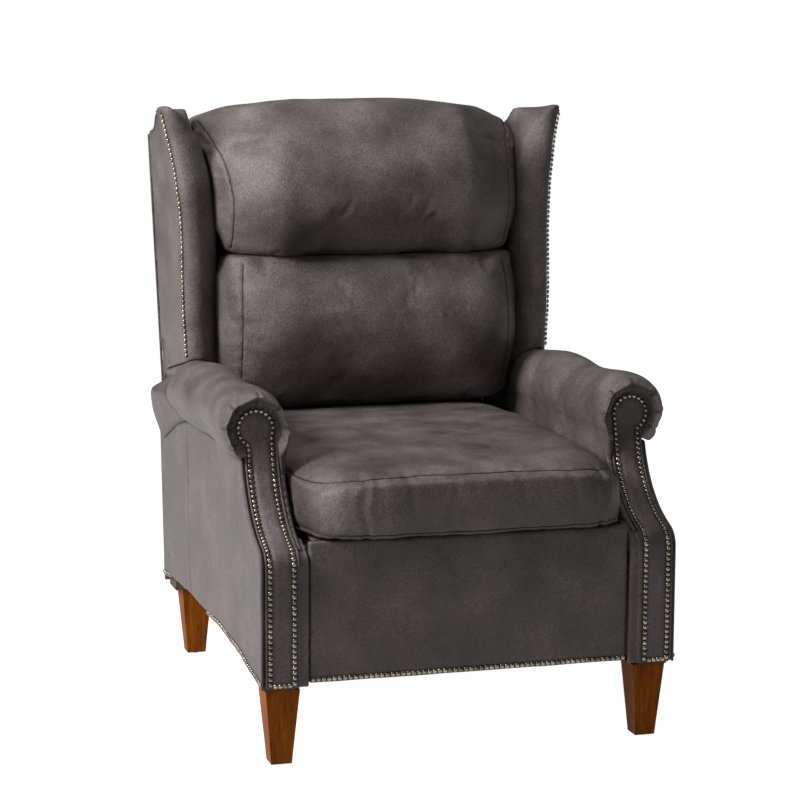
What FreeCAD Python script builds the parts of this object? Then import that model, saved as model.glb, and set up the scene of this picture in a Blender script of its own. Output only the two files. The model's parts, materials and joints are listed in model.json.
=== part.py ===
import FreeCAD, Part
import math
import os

# Wing recliner with a push-back seat, in millimetres.
# +X is to the right of someone who faces the chair, the chair's front looks along -Y, +Z is up,
# and the origin is on the floor under the middle of the chair.

# Widths across the chair follow the seat frame: the mechanism, then the arm, stand outside it
SEAT_FRAME_HALF = 279.0
MECHANISM_ROOM = 33.0
ARM_WIDTH = 73.0
INSIDE_ARM_X = SEAT_FRAME_HALF + MECHANISM_ROOM
OUTSIDE_ARM_X = INSIDE_ARM_X + ARM_WIDTH

# Legs
LEG_HEIGHT = 140.0
LEG_FOOT = 37.5
LEG_TOP = 61.7
FRONT_LEG_X = INSIDE_ARM_X + 31.4
FRONT_LEG_Y = -437.3
REAR_LEG_X = INSIDE_ARM_X + 20.0
REAR_LEG_Y = 367.4
GLIDE_HEIGHT = 3.0
GLIDE_RADIUS = 11.0
LEG_BOLT_RADIUS = 4.0
LEG_BOLT_LENGTH = 66.0
LEG_BOLT_IN_WOOD = 34.0
LEG_BLOCK_HEIGHT = 55.0
LEG_BLOCK_HALF = 33.0

# Side frames, from the inside of the arm outwards
INSIDE_ARM_PAD = 10.0
PLY = 18.0
OUTSIDE_ARM_PAD = 8.0
COVER_BOTTOM = LEG_HEIGHT + 7.0
COVER_ARCH = 29.0
COVER_ARCH_Y = -130.0
COVER_REAR_RISE = 14.0
ARM_BOARD_TOP = 534.0
ARM_BOARD_THICKNESS = 20.0
POST_DEPTH = 70.0
WINDOW_MARGIN = 75.0
WINDOW_CORNER = 30.0

# Arm front, a panel that sweeps back from the foot to the scroll
FACING_FRONT_Y = -486.0
FACING_NECK_Y = -319.0
FACING_THICKNESS = 14.0
FACING_BEND = 35.0
FACING_SWEEP = 201.0
FACING_SWEEP_TOP = 586.0
FACING_SLOPE = 22.0
FACING_INNER_X = INSIDE_ARM_X + 6.0
FACING_OUTER_X = OUTSIDE_ARM_X - 8.5
SCROLL_X = INSIDE_ARM_X + 44.4
SCROLL_Z = 581.5
SCROLL_RADIUS = 41.0
INNER_STRIP_X = INSIDE_ARM_X - 13.0
INNER_STRIP_INSET = 5.0
INNER_STRIP_TOP = 400.0

# Arm roll; each section is its Y, how far its top and outer side are drawn in, the height of its
# outermost point and the height of its lower lip
ROLL_TOP = 652.0
ROLL_OUTER_X = OUTSIDE_ARM_X + 39.0
ROLL_INNER_X = INSIDE_ARM_X - 12.0
ROLL_CROWN_IN = 48.0
ROLL_CROWN_X = INSIDE_ARM_X + ROLL_CROWN_IN
ROLL_CLEAR = 0.3
ROLL_SECTIONS = [
    (-342.0, 9.0, 9.0, 592.0, 530.0),
    (-315.0, 2.0, 2.0, 592.0, 530.0),
    (-250.0, 0.0, 0.0, 592.0, 530.0),
    (0.0, 2.0, 2.0, 590.0, 530.0),
    (150.0, 6.0, 6.0, 580.0, 522.0),
    (270.0, 9.0, 11.0, 545.0, 492.0),
    (410.0, 11.0, 14.0, 520.0, 445.0),
]
ARM_REAR_BREAK = 470.0
ARM_REAR_TOP_Y = 398.0

# Back plane: the rear of the chair leans back evenly
REAR_FOOT_Y = 418.0
LEAN = 5.65
LOWER_PANEL_TOP = 300.0
LOWER_PANEL_THICKNESS = 10.0
RAIL_THICKNESS = 25.0
RAIL_HEIGHT = 50.0
FRONT_RAIL_Y = -180.0

# Recliner mechanism, layers across one side
PLATE = 4.0
LAYER_GAP = 1.0
LINK_HALF = 10.5
BOSS_RADIUS = 11.5
PIN_RADIUS = 5.0
PIN_HEAD_RADIUS = 8.0
PIN_HEAD = 2.4
RUN_CLEAR = 0.05
SCREW_RADIUS = 2.5
SCREW_HEAD_RADIUS = 5.0
SCREW_HEAD = 2.0
SCREW_LENGTH = 14.0

# Seat swing: two pairs of equal links that lean back at rest
SWING_LENGTH = 130.0
SWING_REST = 11.0
SWING_BASE_Z = 236.0
SWING_FRONT_Y = -115.0
SWING_REAR_Y = 95.0
CLEAT_HEIGHT = 20.0
BASE_PLATE_Z = LEG_HEIGHT + CLEAT_HEIGHT
BASE_PLATE_FOOT = 40.0
BASE_PLATE_MARGIN = 35.0

# Seat frame and what lies on it
SEAT_FRONT_Y = -435.0
SEAT_REAR_Y = 262.0
SEAT_BOTTOM = 345.0
SEAT_TOP = 398.0
SEAT_RAIL = 45.0
SEAT_PLATE_BOTTOM = 350.0
SEAT_PLATE_TOP = 394.0
SEAT_PLATE_TAIL = 60.0
SPRING_COUNT = 4
SPRING_EDGE = 96.0
SPRING_SPACING = 2 * (SEAT_FRAME_HALF - SPRING_EDGE) / (SPRING_COUNT - 1)
SPRING_WIRE = 4.0
SPRING_TURNS = 13
SPRING_WIDTH = 66.0
SPRING_END = 15.0
DECK = 2.5
CUSHION_CLEAR = 0.4
SEAT_CUSHION_HALF = INSIDE_ARM_X - 5.0
SEAT_CUSHION_FRONT = -512.0
SEAT_CUSHION_SEAM = 506.0
SEAT_CUSHION_CROWN = 536.0
SEAT_CUSHION_REAR = 300.0

# Back
BACK_PIVOT_Y = 365.0
BACK_PIVOT_Z = 345.0
BACK_PIVOT_RADIUS = 15.0
BACK_FRAME_DEPTH = 48.0
BACK_FRAME_HALF = SEAT_FRAME_HALF - 5.0
BACK_FRAME_HIGH_HALF = INSIDE_ARM_X + 3.5
BACK_STILE = 45.0
BACK_SKIN = 8.0
BACK_BOTTOM = 312.0
BACK_TOP = 1098.0
BACK_SKIN_STEP = 505.0
BACK_SKIN_LOW_HALF = INSIDE_ARM_X - 2.0
BACK_SKIN_HALF = OUTSIDE_ARM_X - 9.0
BACK_SKIN_TOP_HALF = OUTSIDE_ARM_X + 8.0
WEBBING = 2.0
WEBBING_WIDTH = 50.0
WEBBING_COUNT = 4
INSIDE_BACK_HALF = SEAT_FRAME_HALF + 11.0
INSIDE_BACK_FRONT = 110.0
BACK_CUSHION_HALF = ROLL_INNER_X - 2.0
BACK_CUSHION_BOTTOM = 545.0
BACK_CUSHION_TOP = 838.0
BACK_CUSHION_FRONT = 113.0
BACK_CUSHION_SEAM = 48.0
BACK_CUSHION_DRAW = 60.0
PILLOW_HALF = BACK_CUSHION_HALF + 2.0
PILLOW_FRONT = 115.0
PILLOW_SEAM = 36.0
PILLOW_DRAW = 56.0
PILLOW_BOTTOM = BACK_CUSHION_TOP + 6.0
PILLOW_TOP = 1143.0
PILLOW_BELLY = 105.0
PILLOW_SHOULDER = 62.0
PILLOW_ROUND = 56.0
WING_BOTTOM = 654.0
WING_TIP_Z = 1134.0
WING_SHOULDER_DROP = 34.0
WING_DIP = 49.0
WING_REAR_DROP = 60.0
WING_THICKNESS = 46.0
WING_INNER_X = INSIDE_ARM_X + 4.0
WING_GAP = 6.0
# Level sections of a wing: height, Y of the rolled front edge, X of the outer face beyond the arm's
WING_SECTIONS = [
    (WING_BOTTOM, 193.5, -9.4),
    (800.0, 198.6, -4.0),
    (950.0, 207.9, 0.4),
    (1060.0, 224.4, 16.7),
    (WING_TIP_Z, 236.0, 34.0),
]

# Footrest linkage, two parallelograms; places are (forward of the origin, up)
LEVER_PIVOT = (390.0, 368.0)
REAR_LINK_PIVOT = (340.0, 380.0)
LEVER_REACH = (-113.0, -133.0)
LEVER_TAIL = (4.0, -48.0)
CROSS_REACH = (143.0, 144.0)
TORQUE_TUBE_SHARE = 0.6
TORQUE_TUBE_RADIUS = 11.0
BOARD_REAR = 440.0
BOARD_THICKNESS = 15.0
FOOTREST_FRONT = 478.0
FOOTREST_BOTTOM = COVER_BOTTOM + 3.0
FOOTREST_TOP = 398.0
FOOTREST_HALF = INNER_STRIP_X - 1.5
BRACKET_FLANGE = 26.0
BRACKET_TAIL = 70.0

V = FreeCAD.Vector
X_AXIS = V(1, 0, 0)
Y_AXIS = V(0, 1, 0)
Z_AXIS = V(0, 0, 1)

PANEL_X = INSIDE_ARM_X + INSIDE_ARM_PAD
POST_X = PANEL_X + PLY
COVER_X = OUTSIDE_ARM_X - OUTSIDE_ARM_PAD
SLOPE = math.tan(math.radians(LEAN))
SEAT_PLATE_X = SEAT_FRAME_HALF
INNER_LINK_X = SEAT_PLATE_X + PLATE + LAYER_GAP
OUTER_LINK_X = INNER_LINK_X + PLATE + LAYER_GAP
SPRING_Z = SEAT_TOP
DECK_Z = SPRING_Z + SPRING_WIRE
CUSHION_Z = DECK_Z + DECK + CUSHION_CLEAR


def rear_y(z, inward=0.0):
    """Y of the leaning rear plane at height z, moved square to the plane by inward."""
    return REAR_FOOT_Y + SLOPE * (z - COVER_BOTTOM) - inward / math.cos(math.radians(LEAN))


def point(plane, at, a, b):
    """A point given by two coordinates in a plane, which stands at a place on its third axis."""
    if plane == "yz":
        return V(at, a, b)
    if plane == "xz":
        return V(a, at, b)
    return V(a, b, at)


def outline(plane, at, *marks):
    """Closed wire: (a, b) is a straight run to that corner, (m, n, a, b) an arc by way of (m, n)."""
    first = point(plane, at, *marks[0])
    last = first
    edges = []
    for mark in marks[1:]:
        end = point(plane, at, *mark[-2:])
        if len(mark) == 4:
            edges.append(Part.Arc(last, point(plane, at, *mark[:2]), end).toShape())
        else:
            edges.append(Part.LineSegment(last, end).toShape())
        last = end
    if last.distanceToPoint(first) > 1e-6:
        edges.append(Part.LineSegment(last, first).toShape())
    return Part.Wire(edges)


def slab(plane, start, end, *marks):
    """An outline in a plane, given thickness from start to end along the third axis."""
    axis = {"yz": X_AXIS, "xz": Y_AXIS, "xy": Z_AXIS}[plane]
    return Part.Face(outline(plane, start, *marks)).extrude(axis * (end - start))


def block(x0, x1, y0, y1, z0, z1):
    return Part.makeBox(x1 - x0, y1 - y0, z1 - z0, V(x0, y0, z0))


def rod_x(x0, x1, y, z, radius):
    return Part.makeCylinder(radius, x1 - x0, V(x0, y, z), X_AXIS)


def rod_z(x, y, z0, z1, radius):
    return Part.makeCylinder(radius, z1 - z0, V(x, y, z0), Z_AXIS)


def mirrored(shape):
    return shape.mirror(V(0, 0, 0), X_AXIS)


def both(*shapes):
    """The right-hand solids and their mirror images."""
    return [*shapes, *[mirrored(shape) for shape in shapes]]


def leaned(shape):
    """Turns a piece built upright at the rear plane's foot to the lean of the back."""
    shape.rotate(V(0, REAR_FOOT_Y, COVER_BOTTOM), X_AXIS, -LEAN)
    return shape


def upright(z):
    """Height, along the leaning back, of a point that ends up at height z on the rear plane."""
    return COVER_BOTTOM + (z - COVER_BOTTOM) / math.cos(math.radians(LEAN))


def keep(name, *shapes):
    """Writes one sub-part, as one solid or as several separate ones."""
    shape = shapes[0] if len(shapes) == 1 else Part.makeCompound(list(shapes))
    for solid in shape.Solids:
        if not solid.isValid():
            print("not valid:", name)
    shape.exportStep(f"parts/{name}.step")


def keep_sides(name, right):
    keep(f"{name}_right", right)
    keep(f"{name}_left", mirrored(right))


# Legs

def leg(x, y):
    """Square leg that narrows evenly to its foot, with a hole for its hanger bolt."""
    def square(half, z):
        return outline("xy", z, (x - half, y - half), (x + half, y - half),
                       (x + half, y + half), (x - half, y + half))
    body = Part.makeLoft([square(LEG_FOOT / 2, GLIDE_HEIGHT), square(LEG_TOP / 2, LEG_HEIGHT)], True, True)
    hole = rod_z(x, y, LEG_HEIGHT - LEG_BOLT_IN_WOOD, LEG_HEIGHT, LEG_BOLT_RADIUS + RUN_CLEAR)
    return body.cut(hole)


def leg_glide(x, y):
    """Flat plastic glide with a rounded rim."""
    disc = rod_z(x, y, 0, GLIDE_HEIGHT, GLIDE_RADIUS)
    lower_rim = [edge for edge in disc.Edges if edge.BoundBox.ZMax < GLIDE_HEIGHT / 2]
    return disc.makeFillet(GLIDE_HEIGHT / 3, lower_rim)


def leg_bolt(x, y):
    start = LEG_HEIGHT - LEG_BOLT_IN_WOOD
    return rod_z(x, y, start, start + LEG_BOLT_LENGTH, LEG_BOLT_RADIUS)


def leg_block(x, y):
    """Hardwood corner block that the leg's bolt screws into."""
    top = LEG_HEIGHT + LEG_BLOCK_HEIGHT
    body = block(PANEL_X, COVER_X, y - LEG_BLOCK_HALF, y + LEG_BLOCK_HALF, LEG_HEIGHT, top)
    return body.cut(rod_z(x, y, LEG_HEIGHT, top, LEG_BOLT_RADIUS + RUN_CLEAR))


def build_legs():
    front = (FRONT_LEG_X, FRONT_LEG_Y)
    rear = (REAR_LEG_X, REAR_LEG_Y)
    keep_sides("leg_front", leg(*front))
    keep_sides("leg_rear", leg(*rear))
    keep("leg_glides", *both(leg_glide(*front), leg_glide(*rear)))
    keep("leg_bolts", *both(leg_bolt(*front), leg_bolt(*rear)))
    keep("leg_blocks", *both(leg_block(*front), leg_block(*rear)))


# Side frames

def sweep(inward):
    """Front edge of the arm, bottom to top, as outline marks; inward moves it back square to itself."""
    slope = math.radians(FACING_SLOPE)
    bend = FACING_BEND - inward
    turn = FACING_SWEEP + inward
    turn_centre = (FACING_NECK_Y - FACING_SWEEP, FACING_SWEEP_TOP)
    turn_start = (turn_centre[0] + turn * math.sin(slope), turn_centre[1] - turn * math.cos(slope))
    bend_y = FACING_FRONT_Y + FACING_BEND
    run = (turn_centre[0] + FACING_SWEEP * math.sin(slope)) - (bend_y - FACING_BEND * math.sin(slope))
    bend_top = turn_centre[1] - FACING_SWEEP * math.cos(slope) - run * math.tan(slope)
    bend_z = bend_top - FACING_BEND * math.cos(slope)
    half_bend = math.radians(90 + FACING_SLOPE + 34)
    half_turn = math.radians(-34)
    return [
        (FACING_FRONT_Y + inward, COVER_BOTTOM),
        (FACING_FRONT_Y + inward, bend_z),
        (bend_y + bend * math.cos(half_bend), bend_z + bend * math.sin(half_bend),
         bend_y - bend * math.sin(slope), bend_z + bend * math.cos(slope)),
        turn_start,
        (turn_centre[0] + turn * math.cos(half_turn), turn_centre[1] + turn * math.sin(half_turn),
         FACING_NECK_Y + inward, FACING_SWEEP_TOP),
    ]


def arm_rear(top, inward):
    """Rear edge of the arm, top to bottom: forward of the reclining back above, at the rear plane below."""
    rise = (top - ARM_REAR_BREAK) / (ROLL_TOP - ARM_REAR_BREAK)
    break_y = rear_y(ARM_REAR_BREAK, inward)
    return [
        (break_y + (ARM_REAR_TOP_Y - break_y) * rise, top),
        (break_y, ARM_REAR_BREAK),
        (rear_y(COVER_BOTTOM, inward), COVER_BOTTOM),
    ]


def arm_side(x0, x1, top, inward, bottom=COVER_BOTTOM):
    """A board or pad with the arm's side outline, cut level at top and bottom."""
    body = slab("yz", x0, x1, *sweep(inward), *arm_rear(FACING_SWEEP_TOP, inward))
    if bottom > COVER_BOTTOM:
        body = body.cut(block(x0 - 1, x1 + 1, -2 * REAR_FOOT_Y, 2 * REAR_FOOT_Y, COVER_BOTTOM - 1, bottom))
    return body.cut(block(x0 - 1, x1 + 1, -2 * REAR_FOOT_Y, 2 * REAR_FOOT_Y, top, top + ROLL_TOP))


def side_window():
    """Rounded opening in the plywood side, ahead of the rear post and above the mechanism."""
    y0 = FACING_NECK_Y + POST_DEPTH
    y1 = REAR_LEG_Y - WINDOW_MARGIN
    z0 = BASE_PLATE_Z + WINDOW_MARGIN
    z1 = ARM_BOARD_TOP - ARM_BOARD_THICKNESS - WINDOW_MARGIN
    body = block(PANEL_X - 1, POST_X + 1, y0, y1, z0, z1)
    corners = [edge for edge in body.Edges if abs(edge.tangentAt(edge.FirstParameter).x) > 0.9]
    return body.makeFillet(WINDOW_CORNER, corners)


def side_panel():
    """Plywood side with a window, notched at its lower corners for the leg blocks."""
    top = ARM_BOARD_TOP - ARM_BOARD_THICKNESS
    panel = arm_side(PANEL_X, POST_X, top, FACING_THICKNESS)
    panel = panel.cut(side_window())
    for y in (FRONT_LEG_Y, REAR_LEG_Y):
        low = LEG_HEIGHT + LEG_BLOCK_HEIGHT
        panel = panel.cut(block(PANEL_X - 1, POST_X + 1, y - LEG_BLOCK_HALF, y + LEG_BLOCK_HALF, 0, low))
    foot = block(PANEL_X, POST_X, FRONT_LEG_Y + LEG_BLOCK_HALF, REAR_LEG_Y - LEG_BLOCK_HALF,
                 LEG_HEIGHT, COVER_BOTTOM)
    return panel.fuse(foot).removeSplitter()


def post(y0, y1):
    """Upright between the plywood and the outer cover, with the arm's outline where it reaches it."""
    top = ARM_BOARD_TOP - ARM_BOARD_THICKNESS
    column = arm_side(POST_X, COVER_X, top, FACING_THICKNESS)
    column = column.common(block(POST_X, COVER_X, y0, y1, COVER_BOTTOM, top))
    for y in (FRONT_LEG_Y, REAR_LEG_Y):
        low = LEG_HEIGHT + LEG_BLOCK_HEIGHT
        column = column.cut(block(POST_X - 1, COVER_X + 1, y - LEG_BLOCK_HALF, y + LEG_BLOCK_HALF, 0, low))
    return column


def arm_board():
    """Board along the top of the frame that carries the roll."""
    low = ARM_BOARD_TOP - ARM_BOARD_THICKNESS
    rear = arm_rear(ARM_BOARD_TOP, FACING_THICKNESS)[0][0]
    return block(PANEL_X, COVER_X, FACING_NECK_Y + FACING_THICKNESS, rear, low, ARM_BOARD_TOP)


def build_side_frames():
    keep_sides("side_panel", side_panel())
    keep("front_posts", *both(post(FACING_FRONT_Y, FRONT_LEG_Y + POST_DEPTH)))
    keep("rear_posts", *both(post(REAR_LEG_Y - LEG_BLOCK_HALF, rear_y(ARM_REAR_BREAK))))
    keep("arm_boards", *both(arm_board()))


def cross_rail(y0, z0):
    body = block(-PANEL_X, PANEL_X, y0, y0 + RAIL_THICKNESS, z0, z0 + RAIL_HEIGHT)
    long_edges = [edge for edge in body.Edges if edge.Length > RAIL_HEIGHT + 1]
    return body.makeChamfer(2, long_edges)


def lower_back_panel():
    """Upholstered panel that closes the rear of the base below the reclining back."""
    y0 = REAR_FOOT_Y - LOWER_PANEL_THICKNESS
    panel = block(-PANEL_X, PANEL_X, y0, REAR_FOOT_Y, COVER_BOTTOM, upright(LOWER_PANEL_TOP))
    return leaned(panel)


def build_cross_rails():
    keep("front_cross_rail", cross_rail(FRONT_RAIL_Y, LEG_HEIGHT + 10))
    rear = rear_y(LEG_HEIGHT + 10, LOWER_PANEL_THICKNESS) - RAIL_THICKNESS
    keep("rear_cross_rail", cross_rail(rear, LEG_HEIGHT + 10))
    keep("lower_back_panel", lower_back_panel())


# Arm upholstery

def facing():
    """Front panel of the arm: a keyhole outline on a strip that follows the arm's swept front,
    with a lower, folded strip beside the footrest."""
    top = SCROLL_Z + SCROLL_RADIUS
    rear = [*sweep(FACING_THICKNESS), (FACING_NECK_Y + FACING_THICKNESS, top)]
    strip = slab("yz", FACING_INNER_X - 20, SCROLL_X + SCROLL_RADIUS + 5,
                 *sweep(0), (FACING_NECK_Y, top), *reversed_marks(rear))
    panel = strip.common(keyhole(FACING_FRONT_Y - 10, FACING_NECK_Y + 30, 0))
    fold = slab("yz", INNER_STRIP_X, FACING_INNER_X,
                *sweep(INNER_STRIP_INSET), *reversed_marks(sweep(FACING_THICKNESS)))
    above = block(0, ROLL_OUTER_X, FACING_FRONT_Y, 0, INNER_STRIP_TOP, ROLL_TOP)
    return panel.fuse(fold.cut(above)).removeSplitter()


def outside_arm():
    """Outer cover of the arm, up to the underside of the roll, and turned in over the rear post."""
    side = arm_side(COVER_X, OUTSIDE_ARM_X, ARM_BOARD_TOP - 4, 2)
    rear_low = COVER_BOTTOM + COVER_REAR_RISE
    side = side.cut(slab("yz", COVER_X - 1, OUTSIDE_ARM_X + 1,
                         (FACING_FRONT_Y, COVER_BOTTOM),
                         (COVER_ARCH_Y, COVER_BOTTOM + COVER_ARCH, rear_y(rear_low), rear_low),
                         (rear_y(rear_low), COVER_BOTTOM - 1), (FACING_FRONT_Y, COVER_BOTTOM - 1)))
    rear = slab("yz", PANEL_X, OUTSIDE_ARM_X, *arm_rear(ARM_BOARD_TOP - 4, FACING_THICKNESS - 0.2),
                *arm_rear(ARM_BOARD_TOP - 4, 2)[::-1])
    return side.fuse(rear).removeSplitter()


def inside_arm():
    """Thin pad on the inner side of the arm, from seat height up to the roll."""
    return arm_side(INSIDE_ARM_X, PANEL_X, ARM_BOARD_TOP, FACING_THICKNESS, bottom=SEAT_BOTTOM)


def roll_section(y, lowered, drawn, outer_z, under):
    """Cross-section of the roll; under is the height of its lower lip outside the outer cover."""
    top = ROLL_TOP - lowered
    outer = ROLL_OUTER_X - drawn
    base = ARM_BOARD_TOP + ROLL_CLEAR
    lip = OUTSIDE_ARM_X + ROLL_CLEAR
    return outline(
        "xz", y,
        (INSIDE_ARM_X - 2, base),
        (ROLL_INNER_X, 0.5 * (base + top) - 2, ROLL_INNER_X + 17, top - 18),
        (ROLL_CROWN_X, top, outer - 19, top - 17),
        (outer, outer_z, outer - 13, 0.45 * outer_z + 0.55 * under - 4),
        (outer - 21, 0.12 * outer_z + 0.88 * under - 2, lip, under),
        (lip, base),
    )


def keyhole(y0, y1, grown):
    """Keyhole outline of the arm front, made larger all round by grown and extruded from y0 to y1."""
    inner, outer = FACING_INNER_X - grown, FACING_OUTER_X + grown
    radius = SCROLL_RADIUS + grown
    inner_rise = math.sqrt(radius ** 2 - (SCROLL_X - inner) ** 2)
    outer_rise = math.sqrt(radius ** 2 - (outer - SCROLL_X) ** 2)
    diagonal = radius * math.sqrt(0.5)
    return slab(
        "xz", y0, y1,
        (inner, COVER_BOTTOM),
        (inner, SCROLL_Z - inner_rise),
        (SCROLL_X - diagonal, SCROLL_Z + diagonal, SCROLL_X, SCROLL_Z + radius),
        (SCROLL_X + radius, SCROLL_Z, outer, SCROLL_Z - outer_rise),
        (outer, COVER_BOTTOM),
    )


def arm_roll():
    """Stuffed roll on the arm board: its front swells out around the keyhole head, its rear flares down."""
    body = Part.makeLoft([roll_section(*section) for section in ROLL_SECTIONS], True, False)
    front, rear = ROLL_SECTIONS[0][0], ROLL_SECTIONS[-1][0]
    behind_head = FACING_NECK_Y + FACING_THICKNESS + ROLL_CLEAR
    body = body.cut(keyhole(front - 10, behind_head, ROLL_CLEAR))
    above, beyond = 1.05 * ROLL_TOP, 1.2 * rear
    behind = slab("yz", 0, 2 * ROLL_OUTER_X,
                  (beyond, above), *arm_rear(above, 0)[:2], (beyond, ARM_REAR_BREAK))
    return body.cut(behind)


def build_arm_covers():
    keep_sides("arm_facing", facing())
    keep_sides("outside_arm", outside_arm())
    keep_sides("inside_arm", inside_arm())
    keep_sides("arm_roll", arm_roll())


# Mechanism plates, links and pins

def forward(place, offset=(0.0, 0.0)):
    """Turns a (forward, up) place and offset into Y and Z."""
    return -(place[0] + offset[0]), place[1] + offset[1]


def moved(place, offset):
    return place[0] + offset[0], place[1] + offset[1]


def capsule(x, start, end, radius):
    """Flat bar with round ends between two (Y, Z) places."""
    dy, dz = end[0] - start[0], end[1] - start[1]
    length = math.hypot(dy, dz)
    ny, nz = -dz / length * radius, dy / length * radius
    ty, tz = dy / length * radius, dz / length * radius
    return slab(
        "yz", x, x + PLATE,
        (start[0] + ny, start[1] + nz),
        (start[0] - ty, start[1] - tz, start[0] - ny, start[1] - nz),
        (end[0] - ny, end[1] - nz),
        (end[0] + ty, end[1] + tz, end[0] + ny, end[1] + nz),
    )


def link(x, *places):
    """Bar through two or more pivots, with a larger eye and a bored hole at each."""
    body = rod_x(x, x + PLATE, *places[0], BOSS_RADIUS)
    for place in places[1:]:
        body = body.fuse(rod_x(x, x + PLATE, *place, BOSS_RADIUS))
    for start, end in zip(places, places[1:]):
        body = body.fuse(capsule(x, start, end, LINK_HALF))
    body = body.removeSplitter()
    for place in places:
        body = body.cut(pin_hole(place))
    return body


def pin_hole(place):
    return rod_x(SEAT_PLATE_X - 20, OUTER_LINK_X + 20, *place, PIN_RADIUS + RUN_CLEAR)


def pin(place, x0, x1, headed=True):
    """Rivet through two layers, flush at its inner end, with a low head where there is room."""
    body = rod_x(x0, x1 + RUN_CLEAR, *place, PIN_RADIUS)
    if headed:
        body = body.fuse(rod_x(x1 + RUN_CLEAR, x1 + PIN_HEAD, *place, PIN_HEAD_RADIUS))
    return body.removeSplitter()


def screw(x, y, z):
    """Screw driven downwards, its head on the face at z."""
    shank = rod_z(x, y, z - SCREW_LENGTH, z, SCREW_RADIUS)
    return shank.fuse(rod_z(x, y, z, z + SCREW_HEAD, SCREW_HEAD_RADIUS)).removeSplitter()


def swing_top(base_y):
    angle = math.radians(SWING_REST)
    return base_y + SWING_LENGTH * math.sin(angle), SWING_BASE_Z + SWING_LENGTH * math.cos(angle)


def base_screw_places():
    span = SWING_REAR_Y - SWING_FRONT_Y
    x = 0.5 * (OUTER_LINK_X + PLATE + PANEL_X)
    return [(x, SWING_FRONT_Y + span * share) for share in (-0.08, 0.36, 0.64, 1.08)]


def base_plate():
    """Angle that carries the swing links: an upright with two ears, and a foot on the cleat."""
    y0, y1 = SWING_FRONT_Y - BASE_PLATE_MARGIN, SWING_REAR_Y + BASE_PLATE_MARGIN
    ear = 2 * BOSS_RADIUS
    foot_top = BASE_PLATE_Z + BASE_PLATE_FOOT
    mid = 0.5 * (SWING_FRONT_Y + SWING_REAR_Y)
    upright_plate = slab(
        "yz", OUTER_LINK_X, OUTER_LINK_X + PLATE,
        (y0, BASE_PLATE_Z),
        (SWING_FRONT_Y - ear, SWING_BASE_Z),
        (SWING_FRONT_Y, SWING_BASE_Z + ear, SWING_FRONT_Y + ear, SWING_BASE_Z),
        (mid, foot_top, SWING_REAR_Y - ear, SWING_BASE_Z),
        (SWING_REAR_Y, SWING_BASE_Z + ear, SWING_REAR_Y + ear, SWING_BASE_Z),
        (y1, BASE_PLATE_Z),
    )
    foot = block(OUTER_LINK_X, PANEL_X, y0, y1, BASE_PLATE_Z, BASE_PLATE_Z + PLATE)
    plate = upright_plate.fuse(foot).removeSplitter()
    for x, y in base_screw_places():
        plate = plate.cut(rod_z(x, y, BASE_PLATE_Z - 1, BASE_PLATE_Z + PLATE + 1, SCREW_RADIUS + RUN_CLEAR))
    for y in (SWING_FRONT_Y, SWING_REAR_Y):
        plate = plate.cut(pin_hole((y, SWING_BASE_Z)))
    return plate


def cleat():
    """Wooden strip along the inside of the plywood that the mechanism stands on."""
    y0, y1 = SWING_FRONT_Y - BASE_PLATE_MARGIN, SWING_REAR_Y + BASE_PLATE_MARGIN
    body = block(OUTER_LINK_X, PANEL_X, y0, y1, LEG_HEIGHT, BASE_PLATE_Z)
    for x, y in base_screw_places():
        body = body.cut(rod_z(x, y, LEG_HEIGHT, BASE_PLATE_Z + 1, SCREW_RADIUS + RUN_CLEAR))
    return body


def build_base_mechanism():
    keep("mechanism_cleats", *both(cleat()))
    keep("base_plates", *both(base_plate()))
    screws = [screw(x, y, BASE_PLATE_Z + PLATE) for x, y in base_screw_places()]
    keep("base_plate_screws", *both(*screws))
    pivots = [(SWING_FRONT_Y, SWING_BASE_Z), (SWING_REAR_Y, SWING_BASE_Z)]
    pins = [pin(place, INNER_LINK_X, OUTER_LINK_X + PLATE) for place in pivots]
    keep("base_pivot_pins", *both(*pins))


def build_swing_links():
    for name, y in (("seat_front_links", SWING_FRONT_Y), ("seat_rear_links", SWING_REAR_Y)):
        keep(name, *both(link(INNER_LINK_X, (y, SWING_BASE_Z), swing_top(y))))


def lever_places():
    """Pivots of the front lever: on the seat plate, at the crossing link and at the lower link."""
    bend = moved(LEVER_PIVOT, LEVER_REACH)
    return LEVER_PIVOT, bend, moved(bend, LEVER_TAIL)


def footrest_places():
    """Pivots of the footrest bracket: on the crossing link and on the lower link."""
    upper = moved(lever_places()[1], CROSS_REACH)
    return upper, moved(upper, LEVER_TAIL)


def torque_tube():
    """Round tube between the two front levers, which keeps both sides of the footrest together."""
    y, z = forward(LEVER_PIVOT, (LEVER_REACH[0] * TORQUE_TUBE_SHARE, LEVER_REACH[1] * TORQUE_TUBE_SHARE))
    tube = rod_x(-INNER_LINK_X, INNER_LINK_X, y, z, TORQUE_TUBE_RADIUS)
    return tube.cut(rod_x(-INNER_LINK_X, INNER_LINK_X, y, z, TORQUE_TUBE_RADIUS - 2))


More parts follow.
